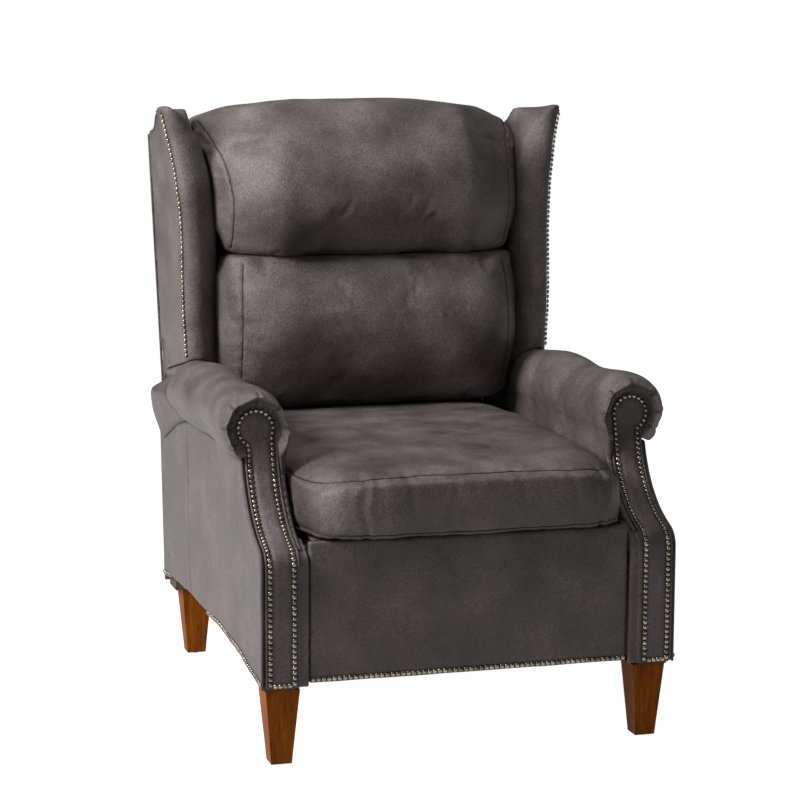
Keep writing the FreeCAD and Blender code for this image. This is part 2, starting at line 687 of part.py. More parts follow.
def build_footrest_links():
    lever_top, bend, tail = lever_places()
    rear_low = moved(REAR_LINK_PIVOT, LEVER_REACH)
    upper, lower = footrest_places()
    lever = link(INNER_LINK_X, forward(lever_top), forward(bend), forward(tail))
    rear = link(INNER_LINK_X, forward(REAR_LINK_PIVOT), forward(rear_low))
    cross = link(OUTER_LINK_X, forward(rear_low), forward(bend), forward(upper))
    low = link(OUTER_LINK_X, forward(tail), forward(lower))
    keep("footrest_levers", *both(lever))
    keep("footrest_rear_links", *both(rear))
    keep("footrest_cross_links", *both(cross))
    keep("footrest_lower_links", *both(low))
    keep("footrest_torque_tube", torque_tube())
    far = OUTER_LINK_X + PLATE
    groups = {"lever_pins": (bend, tail), "cross_link_pins": (rear_low, upper), "lower_link_pins": (lower,)}
    for name, places in groups.items():
        keep(name, *both(*[pin(forward(place), INNER_LINK_X, far) for place in places]))


# Footrest

def footrest_bracket():
    """Plate with the two footrest pivots, folded in behind the board."""
    upper, lower = [forward(place) for place in footrest_places()]
    rear = -BOARD_REAR
    plate = slab(
        "yz", INNER_LINK_X, INNER_LINK_X + PLATE,
        (rear, upper[1] + BOSS_RADIUS),
        (upper[0], upper[1] + BOSS_RADIUS),
        (upper[0] + BOSS_RADIUS, upper[1], upper[0] + 8, upper[1] - 8),
        (lower[0] + 8, lower[1] + 8),
        (lower[0] + BOSS_RADIUS, lower[1], lower[0], lower[1] - BOSS_RADIUS),
        (rear, lower[1] - BRACKET_TAIL),
    )
    flange = block(INNER_LINK_X + PLATE - BRACKET_FLANGE, INNER_LINK_X + PLATE, rear, rear + PLATE,
                   lower[1] - BRACKET_TAIL, upper[1] + BOSS_RADIUS)
    bracket = plate.fuse(flange).removeSplitter()
    return bracket.cut(pin_hole(upper)).cut(pin_hole(lower))


def footrest_board():
    """Plywood board with rounded corners that carries the footrest's padding."""
    board = block(-FOOTREST_HALF + 6, FOOTREST_HALF - 6, -BOARD_REAR - BOARD_THICKNESS, -BOARD_REAR,
                  FOOTREST_BOTTOM + 6, FOOTREST_TOP - 6)
    corners = [edge for edge in board.Edges if abs(edge.tangentAt(edge.FirstParameter).y) > 0.9]
    return board.makeFillet(10, corners)


def footrest_panel():
    """Padded front panel, a little fuller in the middle than at its nailed edge."""
    back = -BOARD_REAR - BOARD_THICKNESS
    edge = -FOOTREST_FRONT + 4
    mid = 0.5 * (FOOTREST_BOTTOM + FOOTREST_TOP)

    def section(x, swell):
        return outline("yz", x, (back, FOOTREST_BOTTOM), (edge, FOOTREST_BOTTOM),
                       (edge - swell, mid, edge, FOOTREST_TOP), (back, FOOTREST_TOP))

    half = FOOTREST_HALF
    sections = [section(-half, 1), section(-half / 2, 4), section(half / 2, 4), section(half, 1)]
    return Part.makeLoft(sections, True, False)


def build_footrest():
    keep("footrest_brackets", *both(footrest_bracket()))
    keep("footrest_board", footrest_board())
    keep("footrest_panel", footrest_panel())


# Seat

def seat_pivots():
    """Pivots on the seat plate: the footrest's two, then the two swing links."""
    return [forward(LEVER_PIVOT), forward(REAR_LINK_PIVOT), swing_top(SWING_FRONT_Y), swing_top(SWING_REAR_Y)]


def seat_plate():
    """Side plate of the seat: it holds the footrest pivots, the swing links and the back hinge."""
    front = SEAT_FRONT_Y + 5
    tail = BACK_PIVOT_RADIUS
    plate = slab(
        "yz", SEAT_PLATE_X, SEAT_PLATE_X + PLATE,
        (front, SEAT_PLATE_BOTTOM), (front, SEAT_PLATE_TOP), (SEAT_REAR_Y - SEAT_PLATE_TAIL, SEAT_PLATE_TOP),
        (BACK_PIVOT_Y, BACK_PIVOT_Z + tail),
        (BACK_PIVOT_Y + tail, BACK_PIVOT_Z, BACK_PIVOT_Y, BACK_PIVOT_Z - tail),
        (SEAT_REAR_Y - SEAT_PLATE_TAIL, SEAT_PLATE_BOTTOM),
    )
    for place in [*seat_pivots(), (BACK_PIVOT_Y, BACK_PIVOT_Z)]:
        plate = plate.cut(pin_hole(place))
    return plate


def seat_frame():
    """Hardwood frame with a cross member, open between for the springs."""
    outer = block(-SEAT_FRAME_HALF, SEAT_FRAME_HALF, SEAT_FRONT_Y, SEAT_REAR_Y, SEAT_BOTTOM, SEAT_TOP)
    inner = block(-SEAT_FRAME_HALF + SEAT_RAIL, SEAT_FRAME_HALF - SEAT_RAIL,
                  SEAT_FRONT_Y + SEAT_RAIL, SEAT_REAR_Y - SEAT_RAIL, SEAT_BOTTOM - 1, SEAT_TOP + 1)
    corners = [edge for edge in inner.Edges if abs(edge.tangentAt(edge.FirstParameter).z) > 0.9]
    frame = outer.cut(inner.makeFillet(12, corners))
    for place in seat_pivots():
        relief = rod_x(SEAT_FRAME_HALF - 3, SEAT_FRAME_HALF + 1, *place, PIN_HEAD_RADIUS + 1)
        frame = frame.cut(relief).cut(mirrored(relief))
    return frame


def zigzag_spring(x):
    """Flat zigzag spring from the front rail to the rear rail, its turns at alternate sides."""
    start, end = SEAT_FRONT_Y + SPRING_END, SEAT_REAR_Y - SPRING_END
    pitch = (end - start) / SPRING_TURNS
    half = SPRING_WIRE / 2
    reach = SPRING_WIDTH / 2 - pitch / 2 - half
    ahead = [(x - reach, start - half)]
    behind = [(x - reach, start + half)]
    for turn in range(SPRING_TURNS):
        side = 1 if turn % 2 == 0 else -1
        y0 = start + turn * pitch
        y1 = y0 + pitch
        edge = x + side * reach
        outer = [(edge, y0 - half), (edge + side * (pitch / 2 + half), 0.5 * (y0 + y1), edge, y1 + half)]
        inner = [(edge, y0 + half), (edge + side * (pitch / 2 - half), 0.5 * (y0 + y1), edge, y1 - half)]
        ahead += outer if side > 0 else inner
        behind += inner if side > 0 else outer
    last = x + reach if SPRING_TURNS % 2 == 0 else x - reach
    last_half = half if SPRING_TURNS % 2 == 1 else -half
    ahead.append((last, end + last_half))
    behind.append((last, end - last_half))
    return slab("xy", SPRING_Z, SPRING_Z + SPRING_WIRE, *ahead, *reversed_marks(behind))


def reversed_marks(marks):
    """The same outline marks, walked from the last corner to the first."""
    walked = [marks[-1][-2:]]
    for mark, earlier in zip(marks[:0:-1], marks[-2::-1]):
        corner = earlier[-2:]
        walked.append(corner if len(mark) == 2 else (*mark[:2], *corner))
    return walked


def seat_deck():
    """Felt sheet between the springs and the cushion."""
    inset = SEAT_RAIL / 3
    return block(-SEAT_FRAME_HALF + inset, SEAT_FRAME_HALF - inset, SEAT_FRONT_Y + inset, SEAT_REAR_Y - inset,
                 DECK_Z, DECK_Z + DECK)


def stations(half, most_drawn):
    """Places across a cushion with how far its outline is drawn in there, all at the two ends."""
    places = []
    for step in range(-3, 4):
        angle = math.radians(30 * step)
        places.append((half * math.sin(angle), most_drawn * (1 - math.cos(angle)) ** 1.6))
    return places


def seat_cushion():
    """Boxed cushion: crowned on top, a full front band, sides and front corners drawn in."""
    def section(x, drawn):
        front = SEAT_CUSHION_FRONT + 5 + drawn
        seam = SEAT_CUSHION_SEAM - 0.55 * drawn
        crown = SEAT_CUSHION_CROWN - drawn
        low = CUSHION_Z
        mid_y = 0.45 * (front + SEAT_CUSHION_REAR)
        rear = SEAT_CUSHION_REAR - 0.3 * drawn
        return outline(
            "yz", x,
            (front + 4, low),
            (front - 5, 0.5 * (low + seam), front, seam),
            (mid_y, crown, rear, crown - 16),
            (rear, low),
        )
    return Part.makeLoft([section(*place) for place in stations(SEAT_CUSHION_HALF, 34)], True, False)


def build_seat():
    keep_sides("seat_plate", seat_plate())
    keep("seat_frame", seat_frame())
    first = -0.5 * (SPRING_COUNT - 1) * SPRING_SPACING
    keep("seat_springs", *[zigzag_spring(first + index * SPRING_SPACING) for index in range(SPRING_COUNT)])
    keep("seat_deck", seat_deck())
    keep("seat_cushion", seat_cushion())
    inner, outer = SEAT_PLATE_X, INNER_LINK_X + PLATE
    places = seat_pivots()
    flush = [pin(place, inner, outer, headed=False) for place in places[:2]]
    swing = [pin(place, inner, outer) for place in places[2:]]
    keep("seat_plate_pins", *both(*flush, *swing))


# Back

def back_layer(half_low, half_high, z_low, z_high, rear, front):
    """Board in the leaning back, wider above the arms; rear and front are depths from the rear plane."""
    low, high = upright(z_low), upright(z_high)
    step = upright(WING_BOTTOM)
    marks = [(-half_low, low), (half_low, low), (half_low, step), (half_high, step + 10), (half_high, high),
             (-half_high, high), (-half_high, step + 10), (-half_low, step)]
    return slab("xz", REAR_FOOT_Y - front, REAR_FOOT_Y - rear, *marks)


def rounded_window(half, z_low, z_high, rear, front):
    body = block(-half, half, REAR_FOOT_Y - front - 1, REAR_FOOT_Y - rear + 1,
                 upright(z_low), upright(z_high))
    corners = [edge for edge in body.Edges if abs(edge.tangentAt(edge.FirstParameter).y) > 0.9]
    return body.makeFillet(WINDOW_CORNER, corners)


def back_frame():
    """Hardwood frame of the back with a rail across its middle, one window below and one above."""
    rear, front = BACK_SKIN, BACK_SKIN + BACK_FRAME_DEPTH
    top = BACK_TOP - BACK_STILE / 2
    bottom = BACK_BOTTOM + BACK_STILE
    body = back_layer(BACK_FRAME_HALF, BACK_FRAME_HIGH_HALF, bottom, top, rear, front)
    half = BACK_FRAME_HALF - BACK_STILE
    middle = WING_BOTTOM
    body = body.cut(rounded_window(half, bottom + BACK_STILE, middle - BACK_STILE / 2, rear, front))
    body = body.cut(rounded_window(half, middle + BACK_STILE / 2, top - BACK_STILE, rear, front))
    return leaned(body)


def outside_back():
    """Outside cover of the back: narrow between the arms, wide behind the wings, its top gently arched."""
    low, high, step = upright(BACK_BOTTOM), upright(BACK_TOP), upright(BACK_SKIN_STEP)
    shoulder = high - 22
    marks = [
        (-BACK_SKIN_LOW_HALF, low), (BACK_SKIN_LOW_HALF, low), (BACK_SKIN_LOW_HALF, step),
        (BACK_SKIN_HALF, step), (BACK_SKIN_TOP_HALF, shoulder), (0, high, -BACK_SKIN_TOP_HALF, shoulder),
        (-BACK_SKIN_HALF, step), (-BACK_SKIN_LOW_HALF, step),
    ]
    return leaned(slab("xz", REAR_FOOT_Y - BACK_SKIN, REAR_FOOT_Y, *marks))


def inside_back():
    """Foam-covered inner back that the loose cushions rest against."""
    low = upright(SEAT_TOP + BACK_STILE)
    high = upright(BACK_TOP - BACK_STILE / 2)
    front = BACK_SKIN + BACK_FRAME_DEPTH + WEBBING
    body = block(-INSIDE_BACK_HALF, INSIDE_BACK_HALF, REAR_FOOT_Y - INSIDE_BACK_FRONT, REAR_FOOT_Y - front,
                 low, high)
    front_edges = [edge for edge in body.Edges if edge.BoundBox.YMax < REAR_FOOT_Y - front - 1]
    return leaned(body.makeFillet(10, front_edges))


def back_webbing():
    """Elastic bands across the front of the back frame, evenly spaced over its two windows."""
    low, high = SEAT_TOP + 2 * BACK_STILE, BACK_TOP - 2 * BACK_STILE
    front = BACK_SKIN + BACK_FRAME_DEPTH
    half = BACK_FRAME_HALF - 10
    bands = []
    for index in range(WEBBING_COUNT):
        z = upright(low + (high - low) * index / (WEBBING_COUNT - 1))
        bands.append(leaned(block(-half, half, REAR_FOOT_Y - front - WEBBING, REAR_FOOT_Y - front,
                                  z - WEBBING_WIDTH / 2, z + WEBBING_WIDTH / 2)))
    return bands


def cushion_rear(z):
    """Y of the face that the back cushions rest against."""
    return rear_y(z, INSIDE_BACK_FRONT + CUSHION_CLEAR)


def lower_back_cushion():
    """Lower back cushion: a full, crowned front, ends drawn in towards the arms."""
    def section(x, drawn):
        low, high = BACK_CUSHION_BOTTOM + 0.3 * drawn, BACK_CUSHION_TOP - 0.2 * drawn
        front = BACK_CUSHION_FRONT + drawn
        seam = front + BACK_CUSHION_SEAM - 0.35 * drawn
        mid = 0.5 * (low + high)
        return outline(
            "yz", x,
            (seam + 14, low), (front, mid, seam, high),
            (0.5 * (seam + cushion_rear(high)), high + 5, cushion_rear(high), high),
            (cushion_rear(low), low),
        )
    places = stations(BACK_CUSHION_HALF, BACK_CUSHION_DRAW)
    return Part.makeLoft([section(*place) for place in places], True, False)


def head_pillow():
    """Head cushion: swells forward, rises over the top of the back and hangs a little behind it."""
    def section(x, drawn):
        low, high = PILLOW_BOTTOM + 0.25 * drawn, PILLOW_TOP - 0.3 * drawn
        front = PILLOW_FRONT + drawn
        seam = front + PILLOW_SEAM - 0.3 * drawn
        ledge = BACK_TOP + 3
        shelf_rear = rear_y(ledge, BACK_SKIN + 4 + 0.4 * drawn)
        top_y = 0.5 * (front + shelf_rear)
        return outline(
            "yz", x,
            (seam + 10, low), (front, low + PILLOW_BELLY, seam + 14, high - PILLOW_SHOULDER),
            (seam + PILLOW_ROUND, high - 14, top_y, high),
            (0.6 * shelf_rear + 0.4 * top_y, high - 5, shelf_rear, ledge),
            (cushion_rear(ledge), ledge),
            (cushion_rear(low), low),
        )
    return Part.makeLoft([section(*place) for place in stations(PILLOW_HALF, PILLOW_DRAW)], True, False)


def wing_section(z, front, beyond):
    """Level cut through a wing: a rolled front edge, a hollowed inner face and a straight outer face."""
    outer = OUTSIDE_ARM_X + beyond
    rear = rear_y(z, BACK_SKIN)
    inner = outer - WING_THICKNESS
    nose = 0.48 * WING_THICKNESS
    root = WING_INNER_X + 1
    return outline(
        "xy", z,
        (outer, front + nose),
        (outer - WING_THICKNESS / 2, front, inner, front + nose),
        (inner - 0.25 * (inner - root) + 2, 0.55 * front + 0.45 * rear, root, rear),
        (outer_rear_x(z), rear),
    )


def outer_rear_x(z):
    """Half width of the outside back at height z."""
    share = (z - BACK_SKIN_STEP) / (BACK_TOP - BACK_SKIN_STEP)
    return BACK_SKIN_HALF + (BACK_SKIN_TOP_HALF - BACK_SKIN_HALF) * share


def wing():
    """Wing that flares out and forward to its tip, scooped down to the back's rear corner."""
    body = Part.makeLoft([wing_section(*section) for section in WING_SECTIONS], True, False)
    scoop = slab(
        "yz", WING_INNER_X - 20, ROLL_OUTER_X + 20,
        (150, WING_TIP_Z - 3), (262, WING_TIP_Z), (355, WING_TIP_Z - 10),
        (388, WING_TIP_Z - WING_SHOULDER_DROP, 443, WING_TIP_Z - WING_DIP),
        (rear_y(BACK_TOP) + 10, WING_TIP_Z - WING_REAR_DROP), (1.5 * REAR_FOOT_Y, 1.05 * WING_TIP_Z),
        (150, 1.05 * WING_TIP_Z),
    )
    body = body.cut(scoop)
    arm_top, arm_break = arm_rear(ROLL_TOP, 0)[:2]
    step = BACK_SKIN_STEP + 1
    share = (step - ARM_REAR_BREAK) / (ROLL_TOP - ARM_REAR_BREAK)
    arm_at_step = arm_break[0] + (arm_top[0] - arm_break[0]) * share
    tail = slab(
        "yz", BACK_FRAME_HIGH_HALF + 4, BACK_SKIN_HALF,
        (arm_top[0] + WING_GAP, WING_BOTTOM),
        (rear_y(WING_BOTTOM, BACK_SKIN), WING_BOTTOM),
        (rear_y(step, BACK_SKIN), step),
        (min(arm_at_step + WING_GAP, rear_y(step, BACK_SKIN) - 1), step),
    )
    return body.fuse(tail).removeSplitter()


def back_bracket():
    """Steel arm from the back's pivot up the outer side of the stile."""
    x0 = BACK_FRAME_HALF
    low, high = upright(BACK_BOTTOM + 2 * BACK_STILE), upright(BACK_BOTTOM + 4 * BACK_STILE)
    rear = REAR_FOOT_Y - BACK_SKIN
    strap = leaned(block(x0, x0 + PLATE, rear - BACK_FRAME_DEPTH, rear - 10, low, high))
    place = (BACK_PIVOT_Y, BACK_PIVOT_Z)
    top_z = BACK_BOTTOM + 2 * BACK_STILE
    top = (rear_y(top_z, BACK_SKIN + BACK_FRAME_DEPTH / 2 + 5), top_z)
    arm = capsule(x0, place, top, BACK_PIVOT_RADIUS - 1)
    return strap.fuse(arm).removeSplitter().cut(pin_hole(place))


def back_pin():
    """Shouldered pin through the seat plate and the back bracket."""
    place = (BACK_PIVOT_Y, BACK_PIVOT_Z)
    face = SEAT_PLATE_X + PLATE
    shank = rod_x(BACK_FRAME_HALF - PIN_HEAD, face + RUN_CLEAR, *place, PIN_RADIUS)
    return shank.fuse(rod_x(face + RUN_CLEAR, face + PIN_HEAD, *place, PIN_HEAD_RADIUS)).removeSplitter()


def build_back():
    keep("back_frame", back_frame())
    keep("outside_back", outside_back())
    keep("inside_back", inside_back())
    keep("back_webbing", *back_webbing())
    keep("lower_back_cushion", lower_back_cushion())
    keep("head_pillow", head_pillow())
    keep_sides("wing", wing())
    keep("back_brackets", *both(back_bracket()))
    keep("back_pivot_pins", *both(back_pin()))


def main():
    os.makedirs("parts", exist_ok=True)
    build_legs()
    build_side_frames()
    build_cross_rails()
    build_arm_covers()
    build_base_mechanism()
    build_swing_links()
    build_footrest_links()
    build_footrest()
    build_seat()
    build_back()


main()
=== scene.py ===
import bmesh
import bpy
import json
import math
from mathutils import Matrix, Vector, noise
from mathutils.bvhtree import BVHTree
from mathutils.kdtree import KDTree


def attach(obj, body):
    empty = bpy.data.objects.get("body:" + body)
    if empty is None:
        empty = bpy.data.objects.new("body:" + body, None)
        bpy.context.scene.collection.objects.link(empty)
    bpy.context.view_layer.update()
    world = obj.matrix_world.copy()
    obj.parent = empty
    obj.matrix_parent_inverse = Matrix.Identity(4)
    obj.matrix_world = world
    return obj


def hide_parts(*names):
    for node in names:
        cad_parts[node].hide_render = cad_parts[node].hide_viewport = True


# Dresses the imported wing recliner. Lengths are in millimetres and are turned to metres by MM.
# Right-hand pieces have positive X; the left-hand ones are their mirror images.

MM = 0.001
NAIL_PITCH = 9.65
SCROLL = (356.4, 581.5)
FACING_IN, FACING_OUT = 318.0, 376.5
NAILS_IN, NAILS_OUT = 327.0, 370.0
SWEEP_TURN = (-520.0, 586.0)
SWEEP_RADIUS = 201.0
FRONT_Y = -486.0
NECK_Y = -319.0
COVER_BOTTOM = 147.0
REAR_FOOT_Y = 418.0
SLOPE = math.tan(math.radians(5.65))
SEAM_STEP = 4.0
NAIL_ROW_Z = 153.4
CUSHION_REAR = 110.9
AHEAD_OF_BACK = -60.0

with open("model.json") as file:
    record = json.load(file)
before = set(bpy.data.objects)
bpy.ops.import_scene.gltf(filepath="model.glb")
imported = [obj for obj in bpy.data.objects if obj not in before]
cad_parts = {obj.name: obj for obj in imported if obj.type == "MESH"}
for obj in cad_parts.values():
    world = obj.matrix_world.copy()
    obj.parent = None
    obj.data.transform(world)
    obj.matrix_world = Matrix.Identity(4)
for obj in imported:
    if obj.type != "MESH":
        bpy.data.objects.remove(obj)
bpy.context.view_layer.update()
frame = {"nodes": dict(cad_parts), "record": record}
nodes = frame["nodes"]
slot_of = {part["node"]: part["material_slot"] for part in frame["record"]["subparts"]}


FORWARD = Vector((0, -1, 0))
DOWN = Vector((0, 0, -1))
STILL = Vector((0, 0, 0))


def rear_y(z, inward=0.0):
    """Y of the leaning rear plane at height z."""
    return REAR_FOOT_Y + SLOPE * (z - COVER_BOTTOM) - inward


def smooth(value, low, high):
    t = min(max((value - low) / (high - low), 0.0), 1.0)
    return t * t * (3 - 2 * t)


def read_off(table, value):
    """Straight-line reading of a table of (place, amount) pairs."""
    for (a, first), (b, second) in zip(table, table[1:]):
        if value <= b:
            return first + (second - first) * min(max((value - a) / (b - a), 0.0), 1.0)
    return table[-1][1]


# Materials

def new_material(name):
    material = bpy.data.materials.new(name)
    material.use_nodes = True
    tree = material.node_tree
    shader = tree.nodes["Principled BSDF"]
    coords = tree.nodes.new("ShaderNodeTexCoord").outputs["Object"]
    return material, tree, shader, coords


def noise_of(tree, coords, scale, detail=3.0, roughness=0.55):
    texture = tree.nodes.new("ShaderNodeTexNoise")
    texture.inputs["Scale"].default_value = scale
    texture.inputs["Detail"].default_value = detail
    texture.inputs["Roughness"].default_value = roughness
    tree.links.new(coords, texture.inputs["Vector"])
    return texture.outputs["Fac"]


def ramp(tree, value, *stops):
    node = tree.nodes.new("ShaderNodeValToRGB")
    elements = node.color_ramp.elements
    while len(elements) < len(stops):
        elements.new(0.5)
    for element, (place, color) in zip(elements, stops):
        element.position = place
        element.color = (*color, 1.0)
    tree.links.new(value, node.inputs["Fac"])
    return node.outputs["Color"]


def spread(tree, value, low, high, to_low, to_high):
    node = tree.nodes.new("ShaderNodeMapRange")
    for name, number in (("From Min", low), ("From Max", high), ("To Min", to_low), ("To Max", to_high)):
        node.inputs[name].default_value = number
    tree.links.new(value, node.inputs["Value"])
    return node.outputs["Result"]


def mix_colors(tree, kind, factor, first, second):
    node = tree.nodes.new("ShaderNodeMix")
    node.data_type = "RGBA"
    node.blend_type = kind
    if isinstance(factor, float):
        node.inputs["Factor"].default_value = factor
    else:
        tree.links.new(factor, node.inputs["Factor"])
    for socket, value in ((node.inputs[6], first), (node.inputs[7], second)):
        if isinstance(value, tuple):
            socket.default_value = (*value, 1.0)
        else:
            tree.links.new(value, socket)
    return node.outputs[2]


def bumped(tree, height, strength, distance, before=None):
    node = tree.nodes.new("ShaderNodeBump")
    node.inputs["Strength"].default_value = strength
    node.inputs["Distance"].default_value = distance
    tree.links.new(height, node.inputs["Height"])
    if before:
        tree.links.new(before, node.inputs["Normal"])
    return node.outputs["Normal"]


def leather(name, dark, middle, light):
    """Pebbled leather: fine round grain, cloudy colour, and painted shade in its creases, its seams and round its
    nails.
    """
    material, tree, shader, coords = new_material(name)
    clouds = noise_of(tree, coords, 11.0, 4.0, 0.55)
    color = ramp(tree, clouds, (0.30, dark), (0.50, middle), (0.72, light))
    speckle = noise_of(tree, coords, 330.0, 3.0, 0.6)
    tone = ramp(tree, speckle, (0.32, (0.55, 0.54, 0.54)), (0.52, (1.0, 1.0, 1.0)), (0.70, (1.4, 1.38, 1.36)))
    color = mix_colors(tree, "MULTIPLY", 1.0, color, tone)
    # Painted shade: a per-point attribute, set where seams, pleats and nail rows press in, mixes the colour toward
    # near black.
    crease_shade = tree.nodes.new("ShaderNodeAttribute")
    crease_shade.attribute_name = "crease_shade"
    color = mix_colors(tree, "MIX", crease_shade.outputs["Fac"], color, (0.012, 0.010, 0.009))
    tree.links.new(color, shader.inputs["Base Color"])
    tree.links.new(spread(tree, clouds, 0.3, 0.7, 0.40, 0.54), shader.inputs["Roughness"])
    shader.inputs["Specular IOR Level"].default_value = 0.28
    pebbles = tree.nodes.new("ShaderNodeTexVoronoi")
    pebbles.feature = "SMOOTH_F1"
    pebbles.inputs["Scale"].default_value = 520.0
    pebbles.inputs["Smoothness"].default_value = 0.35
    tree.links.new(coords, pebbles.inputs["Vector"])
    grain = spread(tree, pebbles.outputs["Distance"], 0.0, 0.6, 1.0, 0.0)
    folds = noise_of(tree, coords, 42.0, 4.0, 0.6)
    normal = bumped(tree, folds, 0.35, 0.004)
    normal = bumped(tree, grain, 0.55, 0.0007, normal)
    tree.links.new(normal, shader.inputs["Normal"])
    return material


def wood(name, dark, light, roughness, coat):
    """Straight-grained wood with the grain upright, darker streaks and pores."""
    material, tree, shader, coords = new_material(name)
    stretch = tree.nodes.new("ShaderNodeMapping")
    stretch.inputs["Scale"].default_value = (1.0, 1.0, 0.07)
    tree.links.new(coords, stretch.inputs["Vector"])
    streaks = noise_of(tree, stretch.outputs["Vector"], 95.0, 6.0, 0.65)
    pores = noise_of(tree, stretch.outputs["Vector"], 900.0, 2.0, 0.5)
    color = ramp(tree, streaks, (0.32, dark), (0.68, light))
    tone = ramp(tree, pores, (0.35, (0.72, 0.68, 0.64)), (0.55, (1.0, 1.0, 1.0)))
    tree.links.new(mix_colors(tree, "MULTIPLY", 0.8, color, tone), shader.inputs["Base Color"])
    tree.links.new(spread(tree, streaks, 0.3, 0.7, roughness - 0.06, roughness + 0.08), shader.inputs["Roughness"])
    tree.links.new(bumped(tree, pores, 0.25, 0.0003), shader.inputs["Normal"])
    shader.inputs["Specular IOR Level"].default_value = 0.1
    shader.inputs["Coat Weight"].default_value = coat
    shader.inputs["Coat Roughness"].default_value = 0.25
    return material


def metal(name, dark, light, roughness, metallic=1.0, scale=120.0):
    material, tree, shader, coords = new_material(name)
    patches = noise_of(tree, coords, scale, 4.0, 0.6)
    tree.links.new(ramp(tree, patches, (0.35, dark), (0.65, light)), shader.inputs["Base Color"])
    tree.links.new(spread(tree, patches, 0.3, 0.7, roughness - 0.07, roughness + 0.1), shader.inputs["Roughness"])
    tree.links.new(bumped(tree, noise_of(tree, coords, scale * 9), 0.15, 0.0002), shader.inputs["Normal"])
    shader.inputs["Metallic"].default_value = metallic
    return material


def cloth_like(name, dark, light, scale, roughness=0.9):
    """Woven or pressed fibre, with a fine thread pattern."""
    material, tree, shader, coords = new_material(name)
    waves = tree.nodes.new("ShaderNodeTexWave")
    waves.inputs["Scale"].default_value = scale
    waves.inputs["Distortion"].default_value = 1.5
    tree.links.new(coords, waves.inputs["Vector"])
    fibres = noise_of(tree, coords, scale * 4, 3.0, 0.7)
    color = ramp(tree, fibres, (0.3, dark), (0.7, light))
    tree.links.new(color, shader.inputs["Base Color"])
    tree.links.new(bumped(tree, waves.outputs["Fac"], 0.4, 0.0005), shader.inputs["Normal"])
    shader.inputs["Roughness"].default_value = roughness
    return material


LEATHER = leather("leather_taupe", (0.066, 0.054, 0.052), (0.106, 0.089, 0.086), (0.162, 0.139, 0.135))
# Near-black leather for the cords in sewn seams, and for the painted shade lines along the arm-roll pleats.
SEAM_AND_PLEAT_SHADE = leather("leather_seam_and_pleat_shade", (0.018, 0.015, 0.014), (0.030, 0.025, 0.023), (0.045, 0.038, 0.035))
PIPING = leather("leather_piping", (0.045, 0.037, 0.034), (0.075, 0.063, 0.059), (0.11, 0.095, 0.09))
NAIL = metal("nail_antique", (0.11, 0.09, 0.07), (0.36, 0.31, 0.25), 0.24, 1.0, 60.0)
SLOT_MATERIALS = {
    "leather": LEATHER,
    "leg_wood": wood("leg_amber", (0.16, 0.037, 0.0018), (0.46, 0.127, 0.008), 0.6, 0.0),
    "frame_wood": wood("frame_wood", (0.10, 0.066, 0.042), (0.19, 0.13, 0.085), 0.7, 0.0),
    "mechanism_steel": metal("steel_black", (0.018, 0.018, 0.020), (0.045, 0.045, 0.048), 0.42, 0.7),
    "bright_steel": metal("steel_zinc", (0.42, 0.42, 0.41), (0.66, 0.66, 0.65), 0.3),
    "spring_steel": metal("steel_spring", (0.06, 0.058, 0.056), (0.13, 0.125, 0.12), 0.4),
    "webbing": cloth_like("webbing_black", (0.02, 0.02, 0.021), (0.07, 0.07, 0.072), 420.0),
    "felt": cloth_like("felt_grey", (0.16, 0.155, 0.145), (0.34, 0.33, 0.31), 160.0, 0.95),
    "glide_plastic": metal("plastic_black", (0.02, 0.02, 0.02), (0.045, 0.045, 0.045), 0.5, 0.0, 200.0),
}


# Building pieces

def finish_piece(obj, body, material):
    obj.data.materials.clear()
    obj.data.materials.append(material)
    for polygon in obj.data.polygons:
        polygon.use_smooth = True
    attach(obj, body)
    return obj


def apply_modifier(obj, modifier):
    bpy.context.view_layer.objects.active = obj
    for other in bpy.context.selected_objects:
        other.select_set(False)
    obj.select_set(True)
    bpy.ops.object.modifier_apply(modifier=modifier.name)


def remeshed(node, name, voxel, rounding):
    """Copy of a CAD node's shape in an even mesh, its edges rounded by smoothing."""
    obj = bpy.data.objects.new(name, nodes[node].data.copy())
    bpy.context.scene.collection.objects.link(obj)
    obj.data.materials.clear()
    remesh = obj.modifiers.new("even", "REMESH")
    remesh.mode = "VOXEL"
    remesh.voxel_size = voxel * MM
    apply_modifier(obj, remesh)
    if rounding:
        soften = obj.modifiers.new("soften", "SMOOTH")
        soften.factor = 0.5
        soften.iterations = rounding
        apply_modifier(obj, soften)
    return obj


def shift_points(obj, offset_of):
    """Moves each vertex by offset_of(place in mm, normal), which gives a vector in mm."""
    mesh = obj.data
    normals = [v.normal.copy() for v in mesh.vertices]
    for vertex, normal in zip(mesh.vertices, normals):
        vertex.co += offset_of(vertex.co / MM, normal) * MM
    mesh.update()


def uneven(obj, depth, size, seed):
    """Slight swells and hollows, as in leather over soft filling."""
    start = Vector((seed * 7.3, seed * 3.1, seed * 5.7))

    def offset(place, normal):
        value = noise.noise(place / size + start) + 0.45 * noise.noise(place / (size * 0.42) - start)
        return normal * depth * value
    shift_points(obj, offset)


